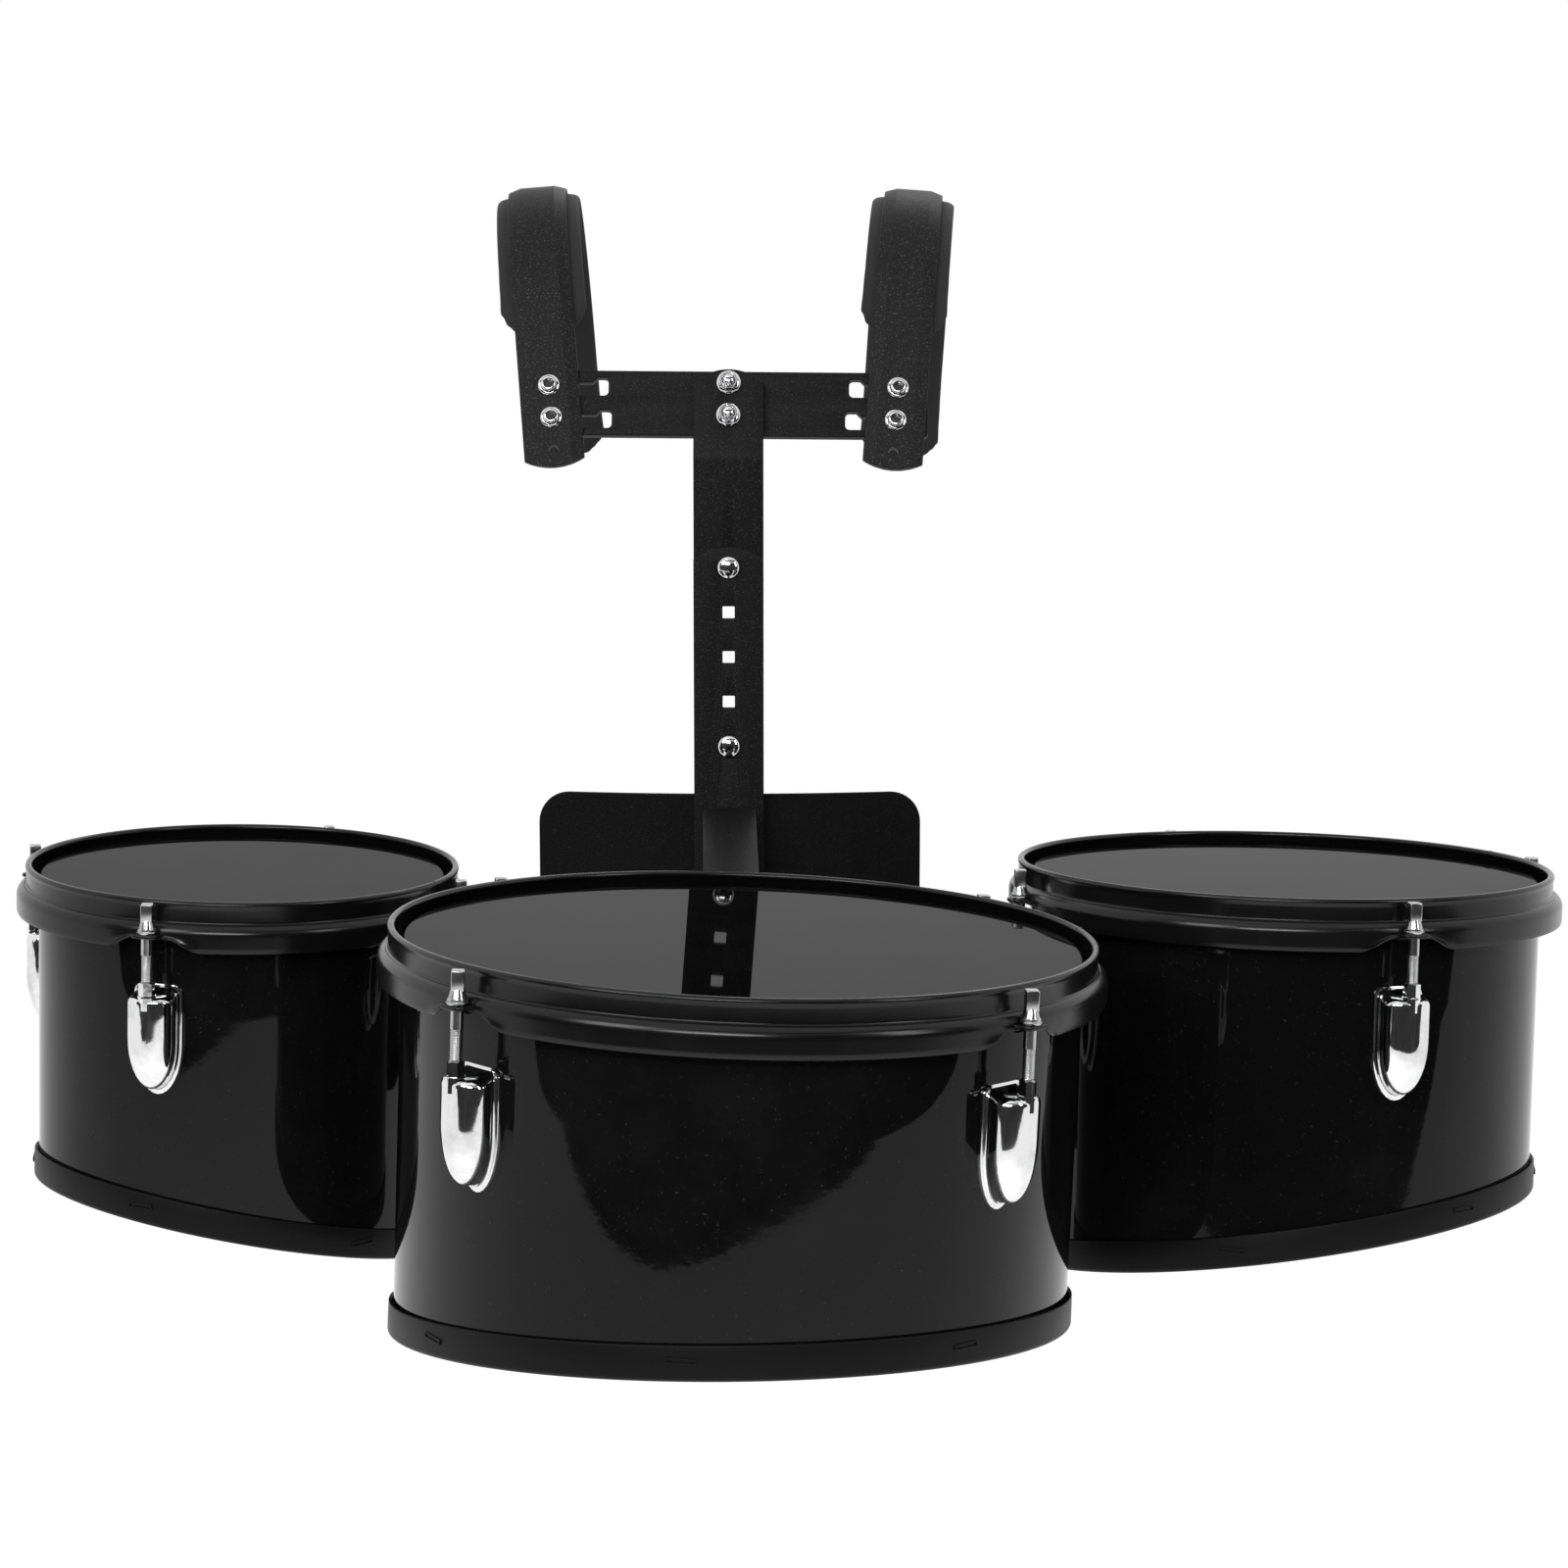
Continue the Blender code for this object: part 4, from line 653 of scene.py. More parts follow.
def shellMesh(drum):
    s = shellSizes
    radius, inner, top = drum["radius"], drum["radius"] - s["wall"], s["top"]
    edgeAt = lowerEdge(drum)

    def profileAt(angle):
        edge = edgeAt(radius, angle)
        return [
            (radius - 1.7 * mm, top), (radius - 0.9 * mm, top - 0.15 * mm),
            (radius - 0.25 * mm, top - 0.7 * mm), (radius, top - 1.6 * mm), (radius, -60 * mm),
            (radius, -120 * mm), (radius, edge), (inner, edge), (inner, -90 * mm),
            (inner, top - 4.6 * mm), (radius - 2.1 * mm, top - 0.2 * mm),
        ]

    body = revolved(profileAt, evenAngles(240), True, 25.0)
    # The wrap's overlap, a hair proud of the shell down its back
    out, sunk, high = radius + 0.35 * mm, radius - 0.2 * mm, s["overlapTop"]
    rings = []
    for i in range(7):
        angle = math.radians(180 - drum["firstRod"]) + s["overlap"] / radius * (i / 6 - 0.5)
        low = edgeAt(radius, angle) + s["overlapFoot"]
        corners = ((out, high), (out, low), (sunk, low), (sunk, high))
        rings.append([(*outwards(r, angle), z) for r, z in corners])
    return joined([body, lofted(rings)], 25.0)


guardSizes = inMm({
    "outside": 2.2, "height": 11.0, "floor": 4.5, "innerHeight": 5.0, "thick": 1.7, "play": 0.3,
    "markLift": 4.4, "markHalf": 6.4, "markHigh": 1.3, "markRim": 0.7, "markThick": 1.5,
})


def guardMesh(drum):
    # A rounded channel pressed on the slanted edge, with small moulded eyelets
    s = guardSizes
    radius = drum["radius"]
    edgeAt = lowerEdge(drum)
    wall = radius - shellSizes["wall"] - s["play"]
    outside, inside = radius + s["outside"], wall - s["thick"]
    flat = arc(outside - 0.7 * mm, s["height"] - 0.7 * mm, 0.7 * mm, 100, 8, 4)
    flat += [(outside + 0.15 * mm, 4.0 * mm)]
    flat += arc(outside - 2.2 * mm, -s["floor"] + 2.4 * mm, 2.4 * mm, 0, -90, 7)
    flat += arc(inside + 1.2 * mm, -s["floor"] + 1.2 * mm, 1.2 * mm, -90, -180, 4)
    flat += [(inside, s["innerHeight"] - 0.5 * mm), (inside + 0.5 * mm, s["innerHeight"])]
    flat += [(wall, s["innerHeight"]), (wall, -s["play"])]
    flat += [(radius + s["play"], -s["play"]), (radius + s["play"], s["height"] - 0.8 * mm)]

    def profileAt(angle):
        return [(r, z + edgeAt(r, angle)) for r, z in flat]

    shapes = [revolved(profileAt, evenAngles(180), True, 40.0)]
    high, holeHalf = s["markHigh"], s["markHalf"] - s["markRim"]
    outlines = [
        box(s["markHalf"], -high, high, 0.5 * mm, 4), box(holeHalf, -high / 2, high / 2, 0.3 * mm, 4),
    ]
    for mark in drum["marks"]:
        # A small moulded eyelet standing a little proud of the outer face
        angle = math.radians(mark - drum["firstRod"])
        place = move(*outwards(outside, angle), edgeAt(outside, angle) + s["markLift"])
        eyelet = plate(outlines, s["markThick"], 0.25 * mm)
        shapes.append(moved(eyelet, place @ turnZ(math.degrees(angle)) @ faceY))
    return joined(shapes, 40.0)


rodSizes = inMm({
    "keyTop": -0.7, "keyWidth": 5.6, "keyFoot": -8.5, "coneFoot": -12.4, "flange": 4.5, "flangeFoot": -13.7,
    "washer": 4.9, "washerHole": 2.9, "seat": -14.85, "shank": 2.75, "threadTop": -25.6, "threadEnd": -44.0,
    "end": -70.0, "pitch": 25.4 / 24, "threadDepth": 0.34,
})


def rodMesh():
    # Square key head, cone, flange and washer, then a plain shank and a rolled thread
    s = rodSizes
    half, flange, shank = s["keyWidth"] / 2, s["flange"], s["shank"]
    keyFoot, coneFoot, flangeFoot = s["keyFoot"], s["coneFoot"], s["flangeFoot"]
    sunk = keyFoot - 1.0 * mm
    key = plate([box(half, -half, half, 0.7 * mm, 4)], s["keyTop"] - sunk, 0.55 * mm)
    moved(key, move(z=(s["keyTop"] + sunk) / 2))
    collar = turned([
        (0.0, keyFoot + 0.2 * mm), (half * 1.02, keyFoot), (half * 1.12, keyFoot - 0.8 * mm),
        (flange - 0.5 * mm, coneFoot), (flange - 0.1 * mm, coneFoot - 0.25 * mm),
        (flange, coneFoot - 0.6 * mm), (flange - 0.1 * mm, flangeFoot), (0.0, flangeFoot),
    ], 48, False, 30.0)
    washer = turned([
        (s["washerHole"], flangeFoot), (s["washer"] - 0.25 * mm, flangeFoot - 0.05 * mm),
        (s["washer"], flangeFoot - 0.4 * mm), (s["washer"] - 0.2 * mm, s["seat"]),
        (s["washerHole"], s["seat"]),
    ], 48, True)
    plainTop, plainEnd = flangeFoot + 0.5 * mm, s["threadTop"] - 0.2 * mm
    plain = turned([
        (0.0, plainTop), (shank, plainTop), (shank, s["threadTop"] + 0.3 * mm),
        (shank - s["threadDepth"], plainEnd), (0.0, plainEnd),
    ], 48)
    thread = threadMesh(shank, s["threadDepth"], s["pitch"], s["threadTop"], s["threadEnd"])
    below = turned([
        (0.0, s["threadEnd"]), (shank - 0.1 * mm, s["threadEnd"]), (shank - 0.1 * mm, s["end"] + 0.6 * mm),
        (shank - 0.7 * mm, s["end"]), (0.0, s["end"]),
    ], 24)
    return joined([key, collar, washer, plain, thread, below])


def threadMesh(radius, depth, pitch, top, bottom):
    # A right-handed thread: the radius rises and falls along the rod, shifted round it
    sides, perTurn = 28, 7
    bm = bmesh.new()
    rows = []
    count = int((top - bottom) / pitch * perTurn)
    for i in range(count + 1):
        z = top - (top - bottom) * i / count
        row = []
        for j in range(sides):
            turn = j / sides
            phase = (z / pitch - turn) % 1.0
            crest = 1 - abs(2 * phase - 1)
            r = radius - depth + depth * min(1.0, max(0.0, crest * 1.5 - 0.25))
            row.append(bm.verts.new((r * math.cos(2 * math.pi * turn), r * math.sin(2 * math.pi * turn), z)))
        rows.append(row)
    strips(bm, rows)
    bm.faces.new(rows[0])
    bm.faces.new(rows[-1][::-1])
    return meshFrom(bm, 60.0)


lugSizes = inMm({
    "top": -42.0, "bottom": -96.3, "width": 24.7, "flange": 1.7, "bodyTop": -45.7,
    "bodyHalf": 11.7, "bodyCorner": 3.9, "tipLift": 4.3, "waist": 8.2, "depth": 17.2, "tipDrop": 24.0,
    "nutAcross": 6.8, "nutTop": -38.6, "nutFoot": -52.0, "back": 3.0,
})


def shield(half, depth, top, bottom, cornerRadius, topSag=0.0):
    # A ring at this depth: flat or dished top, rounded shoulders, straight sides and an elliptic tip
    spring = bottom + 2.05 * half
    steps = 16
    ring = []
    for i in range(steps + 1):
        angle = math.pi * i / steps
        ring.append((half * math.cos(angle), spring - (spring - bottom) * math.sin(angle)))
    corner = min(cornerRadius, half * 0.9)
    flat = half - corner
    ring.append((-half, (spring + top) / 2))
    ring += arc(-flat, top - corner, corner, 180, 90, 5)
    for i in range(1, 6):
        ring.append((-flat + 2 * flat * i / 6, top - topSag * math.sin(math.pi * i / 6)))
    ring += arc(flat, top - corner, corner, 90, 0, 5)
    ring.append((half, (spring + top) / 2))
    return [(x, -depth, z) for x, z in ring]


def lugMesh(radius):
    s = lugSizes
    half, bodyHalf, bodyTop = s["width"] / 2, s["bodyHalf"], s["bodyTop"]
    waist = bodyHalf - 0.9 * mm
    tip = s["bottom"] + s["tipLift"]
    # Steps in width, depth, top and bottom from the flange, then the corner and the sag
    rings = []
    for base, *steps in (
        (half, 0.0, -2.1, 0.0, 0.0, 4.5, 0.0), (half, 0.0, -0.5, 0.0, 0.0, 4.5, 0.0),
        (half, -0.15, -0.15, 0.15, 0.15, 4.5, 0.0), (half, -0.5, 0.0, 0.5, 0.5, 4.5, 0.0),
        (waist, 0.4, 0.1, 1.4, 2.0, 4.2, 0.0), (waist, 0.0, 0.7, 1.8, 2.8, 4.0, 0.0),
        (waist, 0.0, 2.0, 2.3, 3.2, 3.8, 0.0), (waist, 0.6, 3.4, 2.8, 3.6, 3.8, 0.3),
    ):
        wider, out, down, up, corner, sag = inMm(steps)
        rings.append(shield(base + wider, s["flange"] + out, s["top"] - down, s["bottom"] + up, corner, sag))
    for wider, out, up, sag in inMm(((0.0, -1.2, 0.4, 0.5), (0.1, 0.0, 0.1, 0.6))):
        rings.append(shield(bodyHalf + wider, s["waist"] + out, bodyTop + up, tip, s["bodyCorner"], sag))
    start = s["waist"] + 0.6 * mm
    last = 11
    for i in range(last + 1):
        angle = math.radians(86 * i / last)
        level, fall = math.cos(angle), 1 - math.cos(angle)
        depth = start + (s["depth"] - start) * math.sin(angle)
        rings.append(shield(
            max(bodyHalf * level ** 0.92, 0.9 * mm), depth, bodyTop - 3.4 * mm * fall ** 1.2,
            tip + s["tipDrop"] * fall ** 0.85, s["bodyCorner"] * level + 0.4 * mm, 0.6 * mm * level,
        ))
    body = lofted(rings, 40.0)
    # The back follows the shell
    for vertex in body.vertices:
        blend = max(0.0, 1 - max(0.0, -vertex.co.y) / s["back"])
        vertex.co.y += blend * (radius - math.sqrt(radius ** 2 - vertex.co.x ** 2))
    nut = hexNut(s["nutAcross"], s["nutFoot"], s["nutTop"], 0.35 * mm)
    collar = turned(inMm([(2.6, 0.25), (3.0, 0.15), (3.1, -0.6), (2.6, -0.6)]), 32, True)
    washer = turned(inMm([(2.8, 0.5), (4.3, 0.4), (4.4, -0.3), (2.8, -0.4)]), 32, True)
    atRod = move(y=-rodCircle)
    moved(nut, atRod)
    moved(collar, atRod @ move(z=s["nutTop"]))
    moved(washer, atRod @ move(z=bodyTop + 0.3 * mm))
    return joined([body, nut, collar, washer], 40.0)


def makeDrum(name, drum):
    hang = turnY(drum["roll"]) @ turnX(drum["tilt"]) @ turnZ(drum["firstRod"])
    matrix = move(*drum["centre"]) @ hang
    for part, mesh, finish, body, slotName, node in (
        ("rim", hoopMesh(drum), satinCoat, f"{name}_counter_hoop", "hoop_coat", "hoop"),
        ("film", headMesh(drum), blackFilm, "drum_set", "head_film", "head"),
        ("wrap", shellMesh(drum), glossWrap, "drum_set", "shell_wrap", "shell"),
        ("guard", guardMesh(drum), guardRubber, "drum_set", "guard_rubber", "edge_guard"),
    ):
        addPiece(f"{name}_{part}", moved(mesh, matrix), finish, body, slotName, None, f"{name}_{node}")
    lug = lugMesh(drum["radius"])
    for i, azimuth in enumerate(rodAzimuths, 1):
        onShell = matrix @ turnZ(azimuth) @ move(y=-drum["radius"])
        addPiece(f"{name}_casing_{i}", lug, chrome, "drum_set", "chrome", onShell, f"{name}_lug_{i}")
        # The keys are left nearly square to the front
        onCircle = onShell @ move(y=-rodCircle) @ turnZ(4 * i - azimuth - drum["firstRod"])
        body = f"{name}_tension_rod_{i}"
        addPiece(f"{name}_tuning_rod_{i}", tensionRod, rodPlate, body, "chrome", onCircle, f"{name}_rod_{i}")
    say(f"{name} drum dressed")


tensionRod = rodMesh()
for drumName, drumSizes in drums.items():
    makeDrum(drumName, drumSizes)


# Carrier plates, each a flat outline with eased edges

carrier = {
    **inMm({
        "postFace": -113.7, "bendHeight": -138.9, "boltsAboveBend": 33.4, "postWidth": 39.6, "plate": 4.8,
        "seatGap": 0.3, "boltRadius": 3.1, "boltPlay": 0.3, "edge": 0.45, "topBolt": -201.6,
    }),
    "lean": 18.0, "roll": 0.5, "pitch": inch, "smallPitch": 0.75 * inch, "boltRow": 5,
}
boltHole = carrier["boltRadius"] + carrier["boltPlay"]
pairLevels = {"upper": 0.5, "lower": -0.5}  # a pair of bolts, in pitches from its middle
lean = math.radians(carrier["lean"])
carrierMatrix = move(
    0.0, carrier["postFace"] + math.sin(lean) * carrier["boltsAboveBend"],
    carrier["bendHeight"] + math.cos(lean) * carrier["boltsAboveBend"],
) @ turnX(-carrier["lean"]) @ turnY(carrier["roll"])


def archTopped(half, top, sagitta, end, corner):
    # A bar's outline: an arc across the top, and rounded lower corners
    radius = (half ** 2 + sagitta ** 2) / (2 * sagitta)
    reach = math.degrees(math.asin(min(1.0, half / radius)))
    over = arc(0.0, top - radius, radius, 90 - reach, 90 + reach, 28)
    left, right = (-half, over[-1][1], 0), (half, over[0][1], 0)
    return over + rounded([left, (-half, end, corner), (half, end, corner), right])[1:-1]


def split(bm, point, normal):
    geometry = list(bm.verts) + list(bm.edges) + list(bm.faces)
    bmesh.ops.bisect_plane(bm, geom=geometry, plane_co=point, plane_no=normal)


upperPostSizes = inMm({
    "topAboveBolts": 17.6, "sagitta": 8.4, "bendRadius": 15.0, "slotWidth": 7.2, "lift": 6.35, "drop": 50.8,
    "web": 6.5, "corner": 1.0,
})


def makeUpperPost():
    # Cut flat, then bent back below the crossbar
    s = upperPostSizes
    c = carrier
    bendOuter = s["bendRadius"] + c["plate"]
    tangent = bendOuter * math.tan(lean / 2)
    slotTop = c["topBolt"] + s["lift"] + boltHole
    slotBottom = c["topBolt"] - (c["boltRow"] - 1) * c["pitch"] - s["drop"] - boltHole
    start = c["bendHeight"] - tangent
    length = bendOuter * lean
    boltMiddle = start + length + c["boltsAboveBend"] - tangent
    top = boltMiddle + s["topAboveBolts"]
    slotHalf = s["slotWidth"] / 2
    outlines = [
        archTopped(c["postWidth"] / 2, top, s["sagitta"], slotBottom - s["web"], s["corner"]),
        box(slotHalf, slotBottom, slotTop, 0.98 * slotHalf),
    ]
    outlines += [ringOf(boltMiddle + row * c["smallPitch"], boltHole) for row in pairLevels.values()]
    bm = bmeshOf(plate(outlines, c["plate"], c["edge"]))
    bendRows = 8
    for i in range(bendRows + 1):
        split(bm, (0, start + length * i / bendRows, 0), (0, 1, 0))
    for vertex in bm.verts:
        x, along, out = vertex.co
        depth = c["plate"] / 2 - out  # 0 at the front face
        if along <= start:
            vertex.co = (x, c["postFace"] + depth, along)
            continue
        turn = min(1.0, (along - start) / length) * lean
        straight = max(0.0, along - start - length)
        centreY = c["postFace"] + bendOuter
        y = centreY - (bendOuter - depth) * math.cos(turn) + straight * math.sin(turn)
        z = start + (bendOuter - depth) * math.sin(turn) + straight * math.cos(turn)
        vertex.co = (x, y, z)
    mesh = meshFrom(bm)
    addPiece("upper_bar", mesh, shadedBarCoat, "harness", "carrier_coat", None, "upper_post")


lowerPostSizes = inMm({
    "topAboveBolt": 11.7, "sagitta": 7.2, "end": -458.0, "hole": 6.9, "screws": (-388.0, -432.0),
    "corner": 8.0, "edge": 0.30,
})


def makeLowerPost():
    s = lowerPostSizes
    c = carrier
    top = c["topBolt"] + s["topAboveBolt"]
    outlines = [archTopped(c["postWidth"] / 2, top, s["sagitta"], s["end"], s["corner"])]
    half = s["hole"] / 2
    for i in range(c["boltRow"]):
        z = c["topBolt"] - i * c["pitch"]
        outlines.append(box(half, z - half, z + half, 0.5 * mm, 3))
    outlines += [ringOf(z, boltHole) for z in s["screws"]]
    mesh = plate(outlines, c["plate"], s["edge"])
    matrix = move(y=c["postFace"] - c["seatGap"] - c["plate"] / 2) @ faceY
    addPiece("lower_bar", mesh, shadedBarCoat, "drum_set", "carrier_coat", matrix, "lower_post")


crossbarSizes = inMm({
    "half": 113.0, "height": 38.1, "thick": 6.35, "drop": 1.2, "corner": 3.0, "edge": 0.6,
    "slotHeight": 7.8, "step": 2.9, "stepWidth": 6.2, "stepCorner": 0.8, "slotOuter": 107.0,
    "slotCorner": 2.5, "slotDrop": 2.5, "slotEnds": {1: 68.3, -1: 66.2},
})


def makeCrossbar():
    s = crossbarSizes
    c = carrier
    tall = s["height"] / 2
    outlines = [box(s["half"], -s["drop"] - tall, -s["drop"] + tall, s["corner"])]
    for side in (-1, 1):
        for row, inner in s["slotEnds"].items():
            middle = row * c["smallPitch"] / 2 - s["slotDrop"]
            bottom, top = middle - s["slotHeight"] / 2, middle + s["slotHeight"] / 2
            stepped = top + s["step"]
            stepEnd = inner + s["stepWidth"]
            corner, outer = s["slotCorner"], s["slotOuter"]
            corners = rounded([
                (inner, bottom, corner), (outer, bottom, corner), (outer, top, corner),
                (stepEnd + s["step"], top, s["stepCorner"]), (stepEnd, stepped, s["stepCorner"]),
                (inner, stepped, corner),
            ], 6)
            outlines.append([(side * x, y) for x, y in corners])
    outlines += [ringOf(row * c["smallPitch"], boltHole) for row in pairLevels.values()]
    mesh = plate(outlines, s["thick"], s["edge"])
    matrix = carrierMatrix @ move(y=c["plate"] + c["seatGap"] + s["thick"] / 2) @ faceY
    addPiece("cross_plate", mesh, shadedBarCoat, "harness", "carrier_coat", matrix, "crossbar")


makeUpperPost()
makeLowerPost()
makeCrossbar()
say("posts and crossbar built")


# Shoulder straps and their pads, bent over one arc

straps = {
    "left": {"out": -100.9 * mm, "side": -1, "lean": 5.5, "splay": 0.6},
    "right": {"out": 95.2 * mm, "side": 1, "lean": 4.0, "splay": 1.7},
}
strapSizes = inMm({
    "width": 34.0, "flat": 20.0, "bevel": 2.2, "rowDrop": 2.2, "foot": 38.2, "endRadius": 34.0, "rise": 68.7,
    "arch": 88.0, "rearArm": 60.5, "freeHole": 2.8, "eased": 0.4,
})
archTurn = math.pi / 2 + math.radians(90 - carrier["lean"])


def onArch(run, across, depth, inset, before, strap):
    # From flat (distance along, across, depth below the face) to the bent strap's own frame
    s = strapSizes
    radius = s["arch"] - inset
    bend = archTurn * radius
    if run < before:
        y, z, outY, outZ = inset, s["rise"] - before + run, -1.0, 0.0
    else:
        angle = -math.pi / 2 + min(run - before, bend) / radius
        outY, outZ = math.sin(angle), math.cos(angle)
        beyond = max(0.0, run - before - bend)
        y = s["arch"] + radius * outY + beyond * outZ
        z = s["rise"] + radius * outZ - beyond * outY
    y, z = y - depth * outY, z - depth * outZ
    splay = strap["side"] * math.tan(math.radians(strap["splay"]))
    return (across + splay * y, y, z)


def strapMatrix(strap):
    place = move(strap["out"], 0, -strapSizes["rowDrop"])
    return carrierMatrix @ place @ turnY(strap["side"] * strap["lean"])


def strapMesh(strap):
    s = strapSizes
    half, flat, bevel, thick, eased = s["width"] / 2, s["flat"] / 2, s["bevel"], carrier["plate"], s["eased"]
    side = [(half, bevel + 0.4 * mm), (half - 0.35 * mm, bevel - 0.1 * mm)]
    side += [(half - (half - flat) * k, bevel * (1 - k)) for k in (0.3, 0.6, 1.0)] + [(flat / 2, 0.0)]
    front = [(-x, depth) for x, depth in side] + [(0.0, 0.0)] + side[::-1]
    section = front + [(x, thick) for x, _ in reversed(front)]
    before = s["rise"] + s["foot"]
    arch = archTurn * s["arch"]
    steps = 72
    runs = [0.0, eased, before * 0.5] + [before + arch * i / steps for i in range(steps + 1)]
    runs += [before + arch + s["rearArm"] * k for k in (0.5, 1.0)]
    end = len(runs) - 1
    rings = []
    for i, run in enumerate(runs):
        # Both ends are round, and their edges eased
        rounding = 1 if i <= 1 else -1 if i == end else 0
        inset = eased if i in (0, end) else 0.0
        ring = []
        for x, depth in section:
            slip = rounding * (s["endRadius"] - math.sqrt(s["endRadius"] ** 2 - x ** 2))
            squeezed = depth + inset if depth < thick / 2 else depth - inset
            ring.append(onArch(run + slip, x * (1 - inset / half * 0.6), squeezed, 0.0, before, strap))
        rings.append(ring)
    tools = []
    for row, radius in ((0.5, boltHole), (-0.5, boltHole), (-1.5, s["freeHole"])):
        hole = rod(radius, -20 * mm, 20 * mm, 36)
        tools.append(moved(hole, move(z=row * carrier["smallPitch"]) @ faceY))
    return cut(lofted(rings, 12.0), tools, "DIFFERENCE", 12.0)


padSizes = inMm({
    "width": 49.4, "thick": 10.0, "foot": 25.6, "rear": 72.6, "chamfer": 8.0, "rearChamfer": 12.5,
    "chamferRun": 9.4, "edge": 5.6, "edgeRun": 5.0, "voxel": 3.4, "cap": 1.3,
})
padPressure = 4.0
clothSteps = 20


def pressed(mesh, pinned, cap, voxel):
    # The pad as cloth under pressure; pinned(co) tells where it is glued, and cap limits the swelling
    obj = linked("pad", mesh)
    remesh = obj.modifiers.new("remesh", "REMESH")
    remesh.mode = "VOXEL"
    remesh.voxel_size = voxel
    obj = linked("pad", evaluatedMesh(obj, 60.0))
    start = [v.co.copy() for v in obj.data.vertices]
    held = obj.vertex_groups.new(name="glued")
    for v in obj.data.vertices:
        held.add([v.index], 1.0 if pinned(v.co) else 0.0, "REPLACE")
    cloth = obj.modifiers.new("cloth", "CLOTH")
    settings = cloth.settings
    settings.vertex_group_mass = "glued"
    settings.use_pressure = True
    settings.uniform_pressure_force = padPressure
    settings.effector_weights.gravity = 0.0
    settings.quality = 5
    scene = bpy.context.scene
    for step in range(1, clothSteps + 1):
        scene.frame_set(step)
    graph = bpy.context.evaluated_depsgraph_get()
    swollen = obj.evaluated_get(graph).to_mesh()
    moves = [w.co - s for w, s in zip(swollen.vertices, start)]
    obj.evaluated_get(graph).to_mesh_clear()
    obj.modifiers.remove(cloth)
    for v, s, m in zip(obj.data.vertices, start, moves):
        v.co = s + m * min(1.0, cap / max(m.length, 1e-9))
    scene.frame_set(1)
    smooth = obj.modifiers.new("smooth", "SMOOTH")
    smooth.factor = 0.5
    smooth.iterations = 4
    subdivided = obj.modifiers.new("fine", "SUBSURF")
    subdivided.levels = subdivided.render_levels = 1
    return evaluatedMesh(obj, 60.0)


def padMesh(strap):
    # Laid out flat and blown up a little, then bent under the strap
    s = padSizes
    inset = carrier["plate"] + carrier["seatGap"]
    total = s["foot"] + archTurn * (strapSizes["arch"] - inset) + s["rear"]
    half, edge = s["width"] / 2 - 0.5 * mm, s["edge"]
    rings = []
    count = 90
    for i in range(count + 1):
        run = total * i / count
        fromEnd = min(run, total - run)
        chamfer = s["chamfer"] if run < total / 2 else s["rearChamfer"]
        wide = half - chamfer * max(0.0, 1 - fromEnd / s["chamferRun"])
        fall = min(1.0, fromEnd / s["edgeRun"])
        thick = edge + (s["thick"] - 1.0 * mm - edge) * (1 - (1 - fall) ** 2)
        side = [
            (0, 0.2 * mm), (wide - 1.2 * mm, 0.2 * mm), (wide, 0.8 * mm), (wide, edge - 1.6 * mm),
            (wide - 1.6 * mm, edge + 0.4 * mm), (0.55 * wide, thick - 0.3 * mm), (0, thick),
        ]
        other = [(-x, depth) for x, depth in side[1:-1]]
        rings.append([(x, run, depth) for x, depth in other[1::-1] + side + other[:1:-1]])
    flat = lofted(rings, 60.0)
    mesh = pressed(flat, lambda co: co.z < 0.9 * mm, s["cap"], s["voxel"])
    reach = max(abs(v.co.x) for v in mesh.vertices)
    near, far = min(v.co.y for v in mesh.vertices), max(v.co.y for v in mesh.vertices)
    for v in mesh.vertices:
        x, run, depth = v.co
        x *= s["width"] / 2 / reach
        run = (run - near) / (far - near) * total
        depth = max(0.05 * mm, min(s["thick"], depth))
        v.co = onArch(run, x, depth, inset, s["foot"], strap)
    return mesh


def makeStrap(name, strap):
    body = f"{name}_shoulder_strap"
    matrix = strapMatrix(strap)
    bar, cushion = moved(strapMesh(strap), matrix), moved(padMesh(strap), matrix)
    addPiece(f"{name}_bar", bar, strapCoat, body, "carrier_coat", None, f"{name}_strap")
    pad = addPiece(f"{name}_cushion", cushion, padCloth, body, "pad_foam", None, f"{name}_pad")
    for row, level in pairLevels.items():
        place = matrix @ move(z=level * carrier["smallPitch"]) @ faceY
        node = f"{name}_strap_screw_{row}"
        addPiece(f"{name}_button_{row}", buttonScrew, brightZinc, body, "bright_fastener", place, node)
    say(f"{name} strap and pad built")


# Fasteners, along Z with the head at +Z

fastenerSizes = inMm({
    "washer": 6.0, "washerThick": 1.2, "button": 4.7, "buttonHeight": 2.8, "buttonFlat": 3.0,
    "socket": 4.6, "socketDepth": 2.3, "dome": 6.5, "domeHeight": 3.4, "nut": 10.2, "nutHeight": 5.5,
    "nutFlange": 6.75, "flangeThick": 1.4, "stickOut": 2.2, "pitch": 25.4 / 24, "neck": 6.3, "neckLong": 4.6,
})
bolt, gap = carrier["boltRadius"], carrier["seatGap"]


def boltEnd(tip, root):
    # A threaded end with a chamfered tip
    thread = threadMesh(bolt, 0.4 * mm, fastenerSizes["pitch"], tip - 1.2 * mm, root)
    cap = turned([
        (0.0, tip), (bolt * 0.45, tip - 0.08 * mm), (bolt * 0.75, tip - 0.3 * mm),
        (bolt - 0.3 * mm, tip - 0.6 * mm), (bolt - 0.4 * mm, tip - 1.3 * mm), (0.0, tip - 1.3 * mm),
    ], 40, False, 40.0)
    return [thread, cap]


